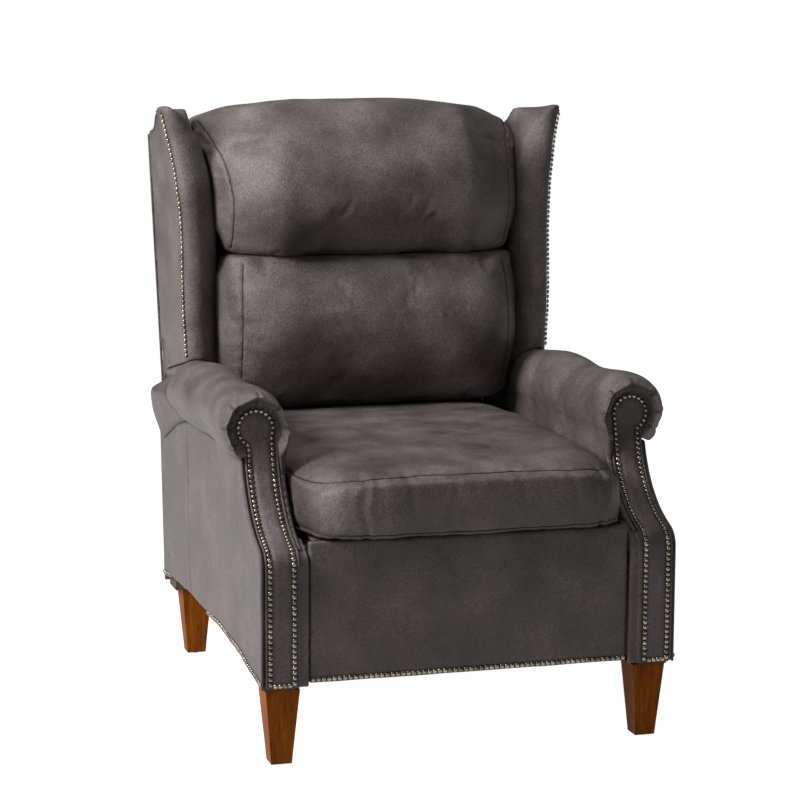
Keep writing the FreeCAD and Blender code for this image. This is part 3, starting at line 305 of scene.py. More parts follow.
def swell(obj, cap, seed):
    """Fills the closed shape like a stuffed cushion; no point moves more than cap."""
    rest = [v.co.copy() for v in obj.data.vertices]
    cloth = obj.modifiers.new("stuffed", "CLOTH")
    settings = cloth.settings
    settings.quality = 5
    settings.mass = 0.3
    settings.tension_stiffness = 12
    settings.compression_stiffness = 12
    settings.shear_stiffness = 5
    settings.bending_stiffness = 0.5
    settings.use_pressure = True
    settings.uniform_pressure_force = 4.0
    settings.effector_weights.gravity = 0.0
    cloth.point_cache.frame_start = 1
    cloth.point_cache.frame_end = 20
    scene = bpy.context.scene
    for step in range(1, 21):
        scene.frame_set(step)
    evaluated = obj.evaluated_get(bpy.context.evaluated_depsgraph_get())
    swollen = [v.co.copy() for v in evaluated.data.vertices]
    obj.modifiers.remove(cloth)
    scene.frame_set(1)
    for vertex, before, after in zip(obj.data.vertices, rest, swollen):
        move = after - before
        if move.length > cap * MM:
            move *= cap * MM / move.length
        vertex.co = before + move
    obj.data.update()


def subdivided(obj):
    modifier = obj.modifiers.new("fine", "SUBSURF")
    modifier.levels = 1
    modifier.render_levels = 1
    apply_modifier(obj, modifier)


class Surface:
    """The skin of a finished mesh, to lay nails, seams and piping on."""

    def __init__(self, obj):
        self.tree = BVHTree.FromPolygons([v.co for v in obj.data.vertices],
                                         [tuple(p.vertices) for p in obj.data.polygons])

    def hit(self, start, toward):
        place, normal, _, _ = self.tree.ray_cast(start * MM, toward.normalized(), 0.6)
        return (place / MM, normal) if place else None

    def nearest(self, start):
        place, normal, _, _ = self.tree.find_nearest(start * MM)
        return place / MM, normal

    def line(self, places, toward):
        """Points of the surface under a run of places, looked at along toward."""
        found = [self.hit(place - toward.normalized() * 150, toward) for place in places]
        return [pair for pair in found if pair]


def spaced(places, gap):
    """Even stations along a run of points, about gap apart."""
    lengths = [0.0]
    for a, b in zip(places, places[1:]):
        lengths.append(lengths[-1] + (b - a).length)
    count = max(int(round(lengths[-1] / gap)), 1)
    result = []
    index = 0
    for step in range(count + 1):
        target = lengths[-1] * step / count
        while index < len(lengths) - 2 and lengths[index + 1] < target:
            index += 1
        share = (target - lengths[index]) / max(lengths[index + 1] - lengths[index], 1e-9)
        result.append(places[index].lerp(places[index + 1], share))
    return result


def ringed(mesh, rings, sides, closed=False):
    """Skins a row of unit circles, each set in its place by a matrix, and closes the two ends."""
    start = len(mesh.edges)
    for matrix in rings:
        bmesh.ops.create_circle(mesh, segments=sides, radius=1.0, matrix=matrix)
    mesh.edges.ensure_lookup_table()
    loops = [mesh.edges[low:low + sides] for low in range(start, len(mesh.edges), sides)]
    for first, second in zip(loops, loops[1:] + loops[:1] if closed else loops[1:]):
        bmesh.ops.bridge_loops(mesh, edges=first + second)
    ends = [] if closed else [loops[0], loops[-1]]
    return [bmesh.ops.holes_fill(mesh, edges=loop, sides=sides)["faces"][0] for loop in ends]


def ring_place(centre, across, along, half, depth=None):
    """Matrix that puts a unit circle round centre, half wide across and as deep in its third direction."""
    other = along.cross(across)
    turn = Matrix((across * half, other * (depth or half), along)).transposed().to_4x4()
    return Matrix.Translation(centre * MM) @ turn @ Matrix.Diagonal((MM, MM, 1.0, 1.0))


def mesh_object(name, mesh):
    """Turns a bmesh into an object with its faces outwards."""
    bmesh.ops.recalc_face_normals(mesh, faces=mesh.faces)
    data = bpy.data.meshes.new(name)
    mesh.to_mesh(data)
    mesh.free()
    obj = bpy.data.objects.new(name, data)
    bpy.context.scene.collection.objects.link(obj)
    return obj


def tube(name, places, radius, sides=8, closed=False):
    """Closed round tube of a given radius through points in mm."""
    points = [Vector(p) for p in places]
    count = len(points)
    rings = []
    across = None
    for index, point in enumerate(points):
        before = points[index - 1] if (index > 0 or closed) else points[index]
        after = points[(index + 1) % count] if (index < count - 1 or closed) else points[index]
        along = (after - before).normalized()
        if across is None:
            across = along.orthogonal().normalized()
        across = (across - along * across.dot(along)).normalized()
        rings.append(ring_place(point, across, along, radius))
    mesh = bmesh.new()
    ringed(mesh, rings, sides, closed)
    return mesh_object(name, mesh)


def laid(pairs, lift):
    return [place + normal * lift for place, normal in pairs]


def seam_and_shade_cord(name, pairs, radius, lift, body):
    """Thin dark cord that lies on a surface: the line of a sewn seam, and on the arm rolls painted shade along a
    pleat's crease.
    """
    return finish_piece(tube(name, laid(pairs, lift), radius), body, SEAM_AND_PLEAT_SHADE)


def piping(name, places, radius, body):
    """Covered cord sewn in where two leather pieces meet."""
    return finish_piece(tube(name, places, radius), body, PIPING)


# Radius and height of the rings of a nail head.
NAIL_RINGS = [(4.6, 0.0), (4.45, 1.2), (3.4, 2.6), (1.8, 3.4)]
NAIL_SIDES = 9
NAIL_TOP = 3.65


def nail_head():
    """One round nail head, a low dome that stands on the origin."""
    mesh = bmesh.new()
    up = Vector((0, 0, 1))
    rings = [ring_place(up * height, Vector((1, 0, 0)), up, radius) for radius, height in NAIL_RINGS]
    crown = ringed(mesh, rings, NAIL_SIDES)[1]
    tip = bmesh.ops.poke(mesh, faces=[crown])["verts"][0]
    tip.co.z = NAIL_TOP * MM
    bmesh.ops.recalc_face_normals(mesh, faces=mesh.faces)
    head = bpy.data.meshes.new("nail_head")
    mesh.to_mesh(head)
    mesh.free()
    return head


NAIL_HEAD = nail_head()


def nails(name, pairs, body):
    """A row of nail heads in one piece."""
    mesh = bmesh.new()
    for place, normal in pairs:
        first = len(mesh.verts)
        mesh.from_mesh(NAIL_HEAD)
        mesh.verts.ensure_lookup_table()
        across = normal.orthogonal().normalized()
        turn = Matrix((across, normal.cross(across), normal)).transposed().to_4x4()
        bmesh.ops.transform(mesh, matrix=Matrix.Translation(place * MM) @ turn, verts=mesh.verts[first:])
    return finish_piece(mesh_object(name, mesh), body, NAIL)


def grooved(obj, lines, depth, width, pucker=0.0, wave=23.0, reach=30.0, shade=0.85):
    """Presses seams into a surface, gathers the leather beside them, and paints shade along them into a point
    attribute.
    """
    tree = KDTree(sum(len(line) for line in lines))
    index = 0
    for line in lines:
        for place in line:
            tree.insert(place, index)
            index += 1
    tree.balance()
    attribute = obj.data.attributes.get("crease_shade") or obj.data.attributes.new("crease_shade", "FLOAT", "POINT")
    values = [0.0] * len(obj.data.vertices)
    attribute.data.foreach_get("value", values)
    places = [v.co / MM for v in obj.data.vertices]
    normals = [v.normal.copy() for v in obj.data.vertices]
    for number, (place, normal) in enumerate(zip(places, normals)):
        _, station, distance = tree.find(place)
        if distance > reach * 2.5:
            continue
        press = depth * math.exp(-(distance / width) ** 2)
        gather = 0.0
        if pucker:
            turn = 2 * math.pi * station * SEAM_STEP / wave + 2.3 * noise.noise(place / 60)
            gather = pucker * math.sin(turn) * math.exp(-distance / reach) * smooth(distance, 0.0, 7.0)
            gather *= 0.55 + 0.9 * noise.noise(place / 85 + Vector((4, 8, 2)))
        obj.data.vertices[number].co -= normal * (press - gather) * MM
        # Painted shade along the pressed line, strongest on it.
        values[number] = max(values[number], shade * math.exp(-(distance / (width * 0.55)) ** 2))
    attribute.data.foreach_set("value", values)
    obj.data.update()


# Arm fronts

def sweep_curve():
    """Front edge of the arm from its foot to the top of the scroll, as (Y, Z) points 3 mm apart."""
    slope = math.radians(22)
    bend = 35.0
    start = (SWEEP_TURN[0] + SWEEP_RADIUS * math.sin(slope), SWEEP_TURN[1] - SWEEP_RADIUS * math.cos(slope))
    bend_y = FRONT_Y + bend
    run = start[0] - (bend_y - bend * math.sin(slope))
    bend_z = start[1] - run * math.tan(slope) - bend * math.cos(slope)
    marks = [Vector((0, FRONT_Y, COVER_BOTTOM)), Vector((0, FRONT_Y, bend_z))]
    for step in range(1, 13):
        angle = math.radians(180 - 68 * step / 12)
        marks.append(Vector((0, bend_y + bend * math.cos(angle), bend_z + bend * math.sin(angle))))
    for step in range(0, 41):
        angle = math.radians(-68 + 68 * step / 40)
        marks.append(Vector((0, SWEEP_TURN[0] + SWEEP_RADIUS * math.cos(angle),
                             SWEEP_TURN[1] + SWEEP_RADIUS * math.sin(angle))))
    marks.append(Vector((0, NECK_Y, SCROLL[1] + 41)))
    return spaced(marks, 3.0)


SWEEP = sweep_curve()


def sweep_at(z):
    """The place of the arm's front edge at height z and the way it faces."""
    for a, b in zip(SWEEP, SWEEP[1:]):
        if b.z >= z:
            share = (z - a.z) / max(b.z - a.z, 1e-6)
            along = (b - a).normalized()
            return a.lerp(b, min(max(share, 0.0), 1.0)), Vector((0, -along.z, along.y))
    return SWEEP[-1], FORWARD


def on_front(x, z):
    place, facing = sweep_at(z)
    return Vector((x, place.y, place.z)), facing


def column(x, low, high):
    """Points up the arm front at a fixed X, with the way it faces."""
    pairs = []
    for a, b in zip(SWEEP, SWEEP[1:]):
        if low <= a.z <= high:
            along = (b - a).normalized()
            pairs.append((Vector((x, a.y, a.z)), Vector((0, -along.z, along.y))))
    return pairs


def keyhole_line(inner, outer, radius, low):
    """Keyhole path on the arm front, up the inner side, over the head and down the outer side."""
    inner_z = SCROLL[1] - math.sqrt(radius ** 2 - (SCROLL[0] - inner) ** 2)
    outer_z = SCROLL[1] - math.sqrt(radius ** 2 - (outer - SCROLL[0]) ** 2)
    path = column(inner, low, inner_z)
    first = math.atan2(inner_z - SCROLL[1], inner - SCROLL[0]) % (2 * math.pi)
    last = math.atan2(outer_z - SCROLL[1], outer - SCROLL[0])
    steps = 40
    for step in range(steps + 1):
        angle = first + (last - first) * step / steps
        path.append(on_front(SCROLL[0] + radius * math.cos(angle), SCROLL[1] + radius * math.sin(angle)))
    return path + column(outer, low, outer_z)[::-1]


def at_side(side, vector):
    return Vector((vector.x * side, vector.y, vector.z))


def even_pairs(pairs, gap):
    """Re-spaces (place, normal) pairs evenly."""
    places = [pair[0] for pair in pairs]
    stations = spaced(places, gap)
    tree = KDTree(len(places))
    for index, place in enumerate(places):
        tree.insert(place, index)
    tree.balance()
    return [(place, pairs[tree.find(place)[1]][1]) for place in stations]


def build_arm_front(side, label):
    obj = remeshed(f"arm_facing_{label}", f"skin_arm_facing_{label}", 3.0, 3)

    def pad(place, normal):
        x, front = place.x * side, -normal.y + 0.6 * normal.z
        if x < FACING_IN - 1 or front < 0.4:
            return STILL
        radius = math.hypot(x - SCROLL[0], place.z - SCROLL[1])
        edge = min(x - FACING_IN, FACING_OUT - x) if place.z < 560 else 41 - radius
        return normal * 2.6 * smooth(edge, 9.0, 20.0)
    shift_points(obj, pad)
    uneven(obj, 0.5, 45, 3 + side)
    skin = Surface(obj)
    path = [(at_side(side, place), at_side(side, facing))
            for place, facing in keyhole_line(NAILS_IN, NAILS_OUT, 32.0, NAIL_ROW_Z)]
    row = even_pairs(path, NAIL_PITCH)
    bottom = [(at_side(side, Vector((NAILS_IN + (NAILS_OUT - NAILS_IN) * step / 5, FRONT_Y, NAIL_ROW_Z))), FORWARD)
              for step in range(1, 5)]
    heads = []
    for place, facing in row + bottom:
        hit = skin.hit(place + facing * 30, -facing)
        if hit:
            heads.append((hit[0], facing))
    # Sinks the leather under the nail row and paints shade round the heads.
    grooved(obj, [[place for place, _ in heads]], 1.2, 6.0, shade=0.7)
    finish_piece(obj, "base", LEATHER)
    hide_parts(f"arm_facing_{label}")
    nails(f"nails_arm_front_{label}", heads, "base")
    edge = [(at_side(side, place + facing * 0.2), at_side(side, facing))
            for place, facing in keyhole_line(FACING_IN + 0.6, FACING_OUT - 0.2, 40.4, COVER_BOTTOM + 1)]
    piping(f"piping_arm_front_{label}", [place for place, _ in even_pairs(edge, 4.0)], 2.3, "base")


# Arm rolls

# Angles of the pleats round the roll's front rim, from the outer side over the top to the inner side.
PLEATS = [-34.0, 2.0, 42.0, 91.0, 136.0, 178.0]
# How far the top drops and the outer side draws in, at each Y towards the rear.
ROLL_FALL = [(60, 0.0), (200, 8.0), (300, 27.0), (410, 46.0), (460, 50.0)]
ROLL_DRAWN = [(150, 0.0), (250, 8.0), (300, 15.0), (410, 20.0), (460, 20.0)]


def facet(angle, radius):
    """How far the leather runs inside a circle where it is stretched straight from pleat to pleat."""
    for first, last in zip(PLEATS, PLEATS[1:]):
        if first <= angle <= last:
            half = math.radians(last - first) / 2
            return radius * (math.cos(half) / math.cos(math.radians(angle - first) - half) - 1)
    return 0.0


def build_arm_roll(side, label):
    obj = remeshed(f"arm_roll_{label}", f"skin_arm_roll_{label}", 2.8, 3)
    attribute = obj.data.attributes.new("crease_shade", "FLOAT", "POINT")
    shades = [0.0] * len(obj.data.vertices)
    normals = [v.normal.copy() for v in obj.data.vertices]
    for number, (vertex, normal) in enumerate(zip(obj.data.vertices, normals)):
        place = vertex.co / MM
        x, y, z = place.x * side, place.y, place.z
        if y < -290:
            dx, dz = x - SCROLL[0], z - SCROLL[1]
            radius = math.hypot(dx, dz)
            angle = math.degrees(math.atan2(dz, dx))
            if angle < -90:
                angle += 360
            outward = Vector((side * dx, 0, dz)) / max(radius, 1.0)
            nearest = min(PLEATS, key=lambda centre: abs(angle - centre))
            fold = angle - nearest
            ahead = smooth(-y, 318, 337)
            dip = math.exp(-(fold / 3.0) ** 2) * smooth(-y, 318, 332)
            lap = math.exp(-((fold - 8.0) / 4.5) ** 2) * ahead
            rim = smooth(radius, 46, 58)
            place += outward * (facet(angle, radius) * ahead * 0.9 * rim - 2.4 * dip * rim + 1.5 * lap * rim)
            dish = -342 + 13 * smooth(61 - radius, 0, 17)
            if place.y < dish:
                place.y = dish
            place.y += (1.2 * dip - 0.5 * lap) * smooth(-y, 332, 340)
            # Painted shade in each pleat's dip.
            shades[number] = 0.8 * dip * (1 - 0.3 * rim)
            # Painted shade inside the rim, where the roll's leather tucks back to the facing.
            if z > 530 and radius < 46:
                shades[number] = max(shades[number], 0.5 * ahead)
        fall = read_off(ROLL_FALL, y)
        place.x -= side * read_off(ROLL_DRAWN, y) * smooth(z, 560, 622) * smooth(x, 380, 400)
        place.z -= fall * smooth(z, 525, 640)
        if x < 332 and z < 547 and y > -338:
            skirt = smooth(547 - z, 0, 9) * smooth(332 - x, 0, 10)
            place.z -= 72 * skirt
            place.x += side * (310.4 - x) * skirt
        long_wave = 0.5 * noise.noise(Vector((y / 130, z / 90, side * 3 + x / 90)))
        vertex.co = (place + normal * long_wave * smooth(y, -300, -200)) * MM
    attribute.data.foreach_set("value", shades)
    obj.data.update()
    uneven(obj, 0.45, 70, 11 + side)
    skin = Surface(obj)
    seam = []
    for step in range(24):
        share = step / 23
        z = 590 - 72 * share
        y = 255 - 130 * share ** 1.6
        hit = skin.hit(Vector((side * 470, y, z)), Vector((-side, 0, 0)))
        if hit:
            seam.append(hit)
    over = []
    for step in range(16):
        angle = math.radians(25 + 120 * step / 15)
        start = Vector((side * (360 + 120 * math.cos(angle)), 262 + 22 * step / 15, 590 + 120 * math.sin(angle)))
        hit = skin.hit(start, Vector((side * 360, start.y, 590)) - start)
        if hit:
            over.append(hit)
    line = [place for place, _ in seam[::-1] + over]
    if len(line) > 3:
        line = spaced(line, SEAM_STEP)
        # Presses the rear seam in and paints shade along it.
        grooved(obj, [line], 2.2, 3.6, 0.9, 26, 22)
    finish_piece(obj, "base", LEATHER)
    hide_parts(f"arm_roll_{label}")
    skin = Surface(obj)
    # Dark cords along the pleats: painted shade in each pleat's crease.
    for number, centre in enumerate(PLEATS):
        turn = math.radians(centre)
        away = Vector((side * math.cos(turn), 0, math.sin(turn)))
        run = [Vector((side * SCROLL[0], y, SCROLL[1])) + away * reach
               for reach, y in ((48, -336), (54, -340), (60, -342), (64, -338), (66, -331), (66, -323))]
        pairs = [skin.nearest(place) for place in spaced(run, 3.0)]
        seam_and_shade_cord(f"pleat_{number}_{label}", pairs, 0.8, -0.2, "base")
    return obj


# Arm sides

# Row of nails along the side's lower edge, as (Y, Z) points.
SIDE_BOTTOM = [(-479, 155), (-398, 162), (-328, 173), (-227, 179), (-132, 182), (-52, 179), (125, 170), (322, 166),
               (410, 164)]
SIDE_PIPING_X = 383.5


def build_arm_side(side, label):
    obj = remeshed(f"outside_arm_{label}", f"skin_outside_arm_{label}", 4.0, 3)

    def puff(place, normal):
        if normal.x * side < 0.5:
            return STILL
        inset = min(smooth(place.z, 165, 260), smooth(470 - place.y, 0, 70), smooth(place.y + 486, 0, 60))
        return normal * (1.2 + 2.0 * inset * noise.noise(place / 170))
    shift_points(obj, puff)
    uneven(obj, 0.7, 90, 21 + side)
    skin = Surface(obj)
    outward = Vector((side, 0, 0))
    seam = skin.line([Vector((side * 385, 131 + 28 * step / 40, 181 + 334 * step / 40)) for step in range(-4, 43)],
                     -outward)
    line = spaced([place for place, _ in seam], SEAM_STEP)
    # Presses the side's seam in and paints shade along it.
    grooved(obj, [line], 1.6, 3.2, 0.5, 30, 24)
    finish_piece(obj, "base", LEATHER)
    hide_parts(f"outside_arm_{label}")
    skin = Surface(obj)
    points = spaced([Vector((side * 385, y, z + 1.5)) for y, z in SIDE_BOTTOM], NAIL_PITCH)
    found = []
    for place in points:
        hit = skin.hit(place + outward * 60, -outward)
        if hit:
            found.append((hit[0], outward))
    nails(f"nails_arm_side_{label}", found, "base")
    front = [Vector((side * SIDE_PIPING_X, place.y + 2.5, place.z)) for place in SWEEP if place.z < 530]
    piping(f"piping_arm_side_{label}", spaced(front, 5.0), 2.2, "base")
    rear = [Vector((side * SIDE_PIPING_X, rear_y(z) - 2.5, z)) for z in range(158, 470, 6)]
    piping(f"piping_arm_rear_{label}", spaced(rear, 6.0), 2.2, "base")


def build_inside_arm(side, label):
    obj = remeshed(f"inside_arm_{label}", f"skin_inside_arm_{label}", 4.0, 3)
    uneven(obj, 0.8, 70, 31 + side)
    finish_piece(obj, "base", LEATHER)
    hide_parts(f"inside_arm_{label}")


INNER_ROLL_X = 312.6


def inner_roll(side, label):
    """Gathered strip of the inner arm that rolls over the arm's front edge beside the cushion."""
    rings = []
    for index, (place, facing) in enumerate(column(0, 390, 575)):
        gather = 1.3 * math.sin(index * 1.15 + 1.5 * noise.noise(place / 40)) * smooth(place.z, 398, 412)
        half = 5.6 + 0.8 * smooth(place.z, 390, 410) - 1.4 * smooth(place.z, 500, 570)
        centre = Vector((side * INNER_ROLL_X, place.y, place.z)) - facing * 6.8
        across = Vector((1, 0, 0))
        rings.append(ring_place(centre, across, across.cross(facing), half, 6.5 + gather * 0.8))
    mesh = bmesh.new()
    ringed(mesh, rings, 14)
    obj = mesh_object(f"inner_roll_{label}", mesh)
    finish_piece(obj, "base", LEATHER)


# Wings

# Places (Z, X, Y) of the nailed front edge, from the arm roll up.
WING_NAILS = [(646, 375.3, 193.0), (655, 375.6, 193.3), (700, 377.3, 194.9), (750, 379.3, 196.3),
              (800, 381, 198.6), (850, 382.5, 200.7), (900, 383.7, 203.5), (950, 385.4, 207.9),
              (1000, 390.1, 214.2), (1030, 395.1, 220.3), (1060, 401.7, 224.4), (1090, 407.9, 230.2),
              (1115, 413.7, 232.2)]
WING_OUTER = [(z, x) for z, x, _ in WING_NAILS]
# How far the inner side is filled toward the cushions at each height.
WING_FILL = [(860, 28.0), (980, 26.0), (1077, 18.0), (1134, 14.0)]


# The wing's top edge from the front roll back, as (Y, Z) points.
WING_TOP = [(246, 1129), (262, 1131), (300, 1128), (340, 1123), (362, 1117), (388, 1100), (415, 1089), (443, 1083),
            (480, 1077), (498, 1074)]


def build_wing(side, label, roll_skin):
    """Wing: filled out to the back cushions behind its rolled front edge, its foot lying on the arm roll."""
    obj = remeshed(f"wing_{label}", f"skin_wing_{label}", 3.6, 7)
    attribute = obj.data.attributes.new("crease_shade", "FLOAT", "POINT")
    attribute.data.foreach_set("value", [0.0] * len(obj.data.vertices))

    def roll(place, normal):
        """Fuller front edge, and small folds where the leather turns over it near the top."""
        front = smooth(270 - place.y, 0, 60)
        fold = 1.1 * math.sin(place.z / 11 + 2 * noise.noise(place / 50)) * smooth(place.z, 1000, 1100)
        return normal * (1.5 * front + fold * front * (1 if normal.x * side < 0.6 else 0.2))
    shift_points(obj, roll)

    def fill(place, normal):
        inside = min(max((read_off(WING_OUTER, place.z) - side * place.x) / 46, 0.0), 1.0)
        amount = read_off(WING_FILL, place.z) * smooth(place.y, 198, 250) * (1 - smooth(place.y, 310, 420))
        round_top = 27.0 * smooth(inside, 0.15, 1.0) * smooth(place.z, 1060, 1130) * (1 - smooth(place.y, 250, 330))
        move = Vector((-side * amount * inside ** 1.5, 0, -round_top))
        if place.z < 705 and place.y < 452:
            spot = Vector((place.x + move.x, min(place.y, 436), 700))
            below = roll_skin.hit(spot, DOWN)
            if below:
                drop = min(max(654 - below[0].z - 1.2, 0.0), 60.0)
                move.z -= drop * smooth(705 - place.z, 0, 48) * (1 - smooth(place.y, 442, 452))
        return move
    shift_points(obj, fill)
    uneven(obj, 1.2, 95, 41 + side)
    skin = Surface(obj)
    outward = Vector((side, 0, 0))
    places = spaced([Vector((side * x, y + 15, z)) for z, x, y in WING_NAILS], NAIL_PITCH)
    found = []
    for place in places:
        hit = skin.hit(place + outward * 60, -outward)
        if hit:
            found.append((hit[0] + outward * 0.6, (outward * 0.8 + Vector((0, -0.6, 0))).normalized()))
    # Sinks the leather under the nail row and paints shade round the heads.
    grooved(obj, [[place for place, _ in found]], 1.2, 6.0, shade=0.7)
    finish_piece(obj, "back", LEATHER)
    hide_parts(f"wing_{label}")
    nails(f"nails_wing_{label}", found, "back")
    edge = []
    for y, z in WING_TOP:
        hit = skin.hit(Vector((side * 470, y, z - 7)), -outward)
        if hit:
            edge.append(hit)
    if len(edge) > 2:
        piping(f"piping_wing_top_{label}", spaced([place for place, _ in edge], 5.0), 2.4, "back")
    rear = [Vector((side * (376 + 17 * (z - 505) / 593), rear_y(z) - 2.0, z)) for z in range(510, 1076, 8)]
    piping(f"piping_wing_rear_{label}", rear, 2.4, "back")


# Backs and panels

def fill_behind_wings(place, normal):
    """The inner back reaches the wings above the arms."""
    return Vector((place.x * 0.105 * smooth(place.z, 640, 675), 0, 0))


def build_panel(node, body, voxel, rounding, depth, size, seed):
    obj = remeshed(node, f"skin_{node}", voxel, rounding)
    if node == "inside_back":
        shift_points(obj, fill_behind_wings)
    uneven(obj, depth, size, seed)
    finish_piece(obj, body, LEATHER)
    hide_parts(node)


FOOTREST_NAIL_X = 290.8
FOOTREST_NAIL_Z = 157.4


def build_footrest_panel():
    obj = remeshed("footrest_panel", "skin_footrest_panel", 3.6, 5)
    shift_points(obj, lambda place, normal: Vector((0, 0, 5.0 * smooth(place.z, 340, 395))))
    uneven(obj, 1.1, 110, 51)
    skin = Surface(obj)
    row = []
    count = 60
    for step in range(count + 1):
        x = FOOTREST_NAIL_X * (2 * step / count - 1)
        hit = skin.hit(Vector((x, -540, FOOTREST_NAIL_Z)), -FORWARD)
        if hit:
            row.append((hit[0], FORWARD))
    # Sinks the leather under the nail row and paints shade round the heads.
    grooved(obj, [[place for place, _ in row]], 1.2, 6.0, shade=0.7)
    finish_piece(obj, "footrest", LEATHER)
    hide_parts("footrest_panel")
    nails("nails_footrest", row, "footrest")


# Cushions

def rounded_rectangle(half_x, low, high, corner):
    """Points round a rectangle with round corners, centred on X, in (X, other) pairs."""
    points = []
    for cx, cy, start in ((half_x - corner, high - corner, 0), (-half_x + corner, high - corner, 90),
                          (-half_x + corner, low + corner, 180), (half_x - corner, low + corner, 270)):
        for step in range(9):
            angle = math.radians(start + 90 * step / 8)
            points.append(Vector((cx + corner * math.cos(angle), cy + corner * math.sin(angle), 0)))
    points.append(points[0])
    return spaced(points, SEAM_STEP)


# Upright folds of the seat cushion's front band: X, depth and width.
SEAT_FOLDS = [(-205, 1.6, 7), (-192, -1.0, 6), (-120, 1.6, 8), (182, 1.5, 8), (236, 2.6, 6), (250, -2.0, 6),
              (-40, 1.0, 12), (88, 1.0, 10)]


def build_seat_cushion():
    obj = remeshed("seat_cushion", "skin_seat_cushion", 8.0, 6)
    shift_points(obj, lambda place, normal: -normal * 2.0 if normal.z > -0.4 else STILL)
    swell(obj, 8.0, 1)
    low = 405.0

    def keep_in(place, normal):
        move = STILL.copy()
        if place.z < low + 0.6:
            move.z = low + 0.6 - place.z
        if abs(place.x) > 308:
            move.x = math.copysign(308 - abs(place.x), place.x)
        return move
    shift_points(obj, keep_in)
    subdivided(obj)
    uneven(obj, 1.8, 120, 61)
    shift_points(obj, lambda place, normal: Vector((-place.x * 0.066 * smooth(-place.y, 370, 470),
                                                    -7.0 * smooth(-place.y, 440, 490), 0)))
    skin = Surface(obj)
    outline = rounded_rectangle(312, -512, 300, 58)

    def seam_height(place):
        across = abs(place.x) / 307
        return 512 - 12 * across ** 5 - 4 * smooth(place.y, 0, 300)

    def lower_height(place):
        return 412 + 5 * (abs(place.x) / 307) ** 4
    lines = []
    for height in (seam_height, lower_height):
        line = []
        for place in outline:
            start = Vector((place.x * 1.25, -106 + (place.y + 106) * 1.25, height(place)))
            target = Vector((place.x * 0.5, -106 + (place.y + 106) * 0.5, start.z))
            hit = skin.hit(start, target - start)
            if hit:
                line.append(hit[0])
        lines.append(line)
    # Presses the seams in and paints shade along them.
    grooved(obj, lines, 2.0, 3.4, 1.1, 31.0, 20, shade=0.6)

    def folds(place, normal):
        """Upright folds in the front band and a few soft ones over the top's front edge."""
        amount = 0.0
        for x, depth, width in SEAT_FOLDS:
            wobble = 4 * math.sin(place.z / 17 + x)
            amount += depth * math.exp(-((place.x - x - wobble) / width) ** 2)
        fade = smooth(-place.y, 425, 480) * smooth(545 - place.z, 0, 30)
        return -normal * amount * fade
    shift_points(obj, folds)
    finish_piece(obj, "seat", LEATHER)
    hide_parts("seat_cushion")
    skin = Surface(obj)
    for number, line in enumerate(lines):
        laid_line = [skin.nearest(place) for place in spaced(line + line[:1], 6.0)]
        cord = tube(f"seam_seat_{number}", laid(laid_line[:-1], 0.0), 1.3, closed=True)
        finish_piece(cord, "seat", SEAM_AND_PLEAT_SHADE)


def end_seam(surface, side, x, low, high):
    """Seam between the face of a back cushion and its end panel: up the end, as seen from the front."""
    line = []
    steps = int((high - low) / SEAM_STEP)
    for step in range(steps + 1):
        z = low + (high - low) * step / steps
        hit = surface.hit(Vector((side * x(z), AHEAD_OF_BACK, z)), -FORWARD)
        if hit:
            line.append(hit[0])
    return line


def build_lower_cushion():
    obj = remeshed("lower_back_cushion", "skin_lower_back_cushion", 6.5, 6)
    shift_points(obj, lambda place, normal: -normal * 2.0 + Vector((
        0, 0, 12.0 * smooth(abs(place.x), 225, 290) * smooth(place.z, 770, 825)
        + 3.0 * smooth(place.z, 790, 835) - 10.0 * smooth(610 - place.z, 0, 60))))
    swell(obj, 9.0, 2)

    def keep_in(place, normal):
        move = STILL.copy()
        limit = rear_y(place.z, CUSHION_REAR)
        if place.y > limit:
            move.y = limit - place.y
        if place.z > 841:
            move.z = 841 - place.z
        if place.z < 536:
            move.z = 536 - place.z
        if abs(place.x) > 299:
            move.x = math.copysign(299 - abs(place.x), place.x)
        return move
    shift_points(obj, keep_in)
    subdivided(obj)
    uneven(obj, 1.8, 110, 71)
    skin = Surface(obj)
    lines = []
    for side in (1, -1):
        lines.append(end_seam(skin, side, lambda z: 276 - 10 * abs((z - 690) / 150) ** 3, 560, 826))
    # Presses the end seams in and paints shade along them.
    grooved(obj, lines, 2.2, 3.4, 1.2, 33.0, 26, shade=0.6)
    finish_piece(obj, "back", LEATHER)
    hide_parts("lower_back_cushion")
    skin = Surface(obj)
    for number, line in enumerate(lines):
        pairs = [skin.nearest(place) for place in spaced(line, 6.0)]
        seam_and_shade_cord(f"seam_lower_back_{number}", pairs, 1.3, 0.0, "back")


# At each height: how far the pillow's ends run back, how far they flare, and the X of the end seam.
PILLOW_SET_BACK = [(843, 44.0), (865, 36.0), (900, 24.0), (928, 20.0), (955, 24.0), (993, 39.0), (1038, 54.0),
                   (1075, 84.0), (1105, 112.0), (1145, 128.0)]
PILLOW_FLARE = [(955, 0.0), (993, 4.0), (1038, 11.0), (1075, 24.0), (1105, 36.0), (1145, 40.0)]
PILLOW_SEAM_X = [(865, 284.0), (955, 286.0), (993, 290.0), (1038, 298.0), (1075, 311.0), (1105, 324.0)]


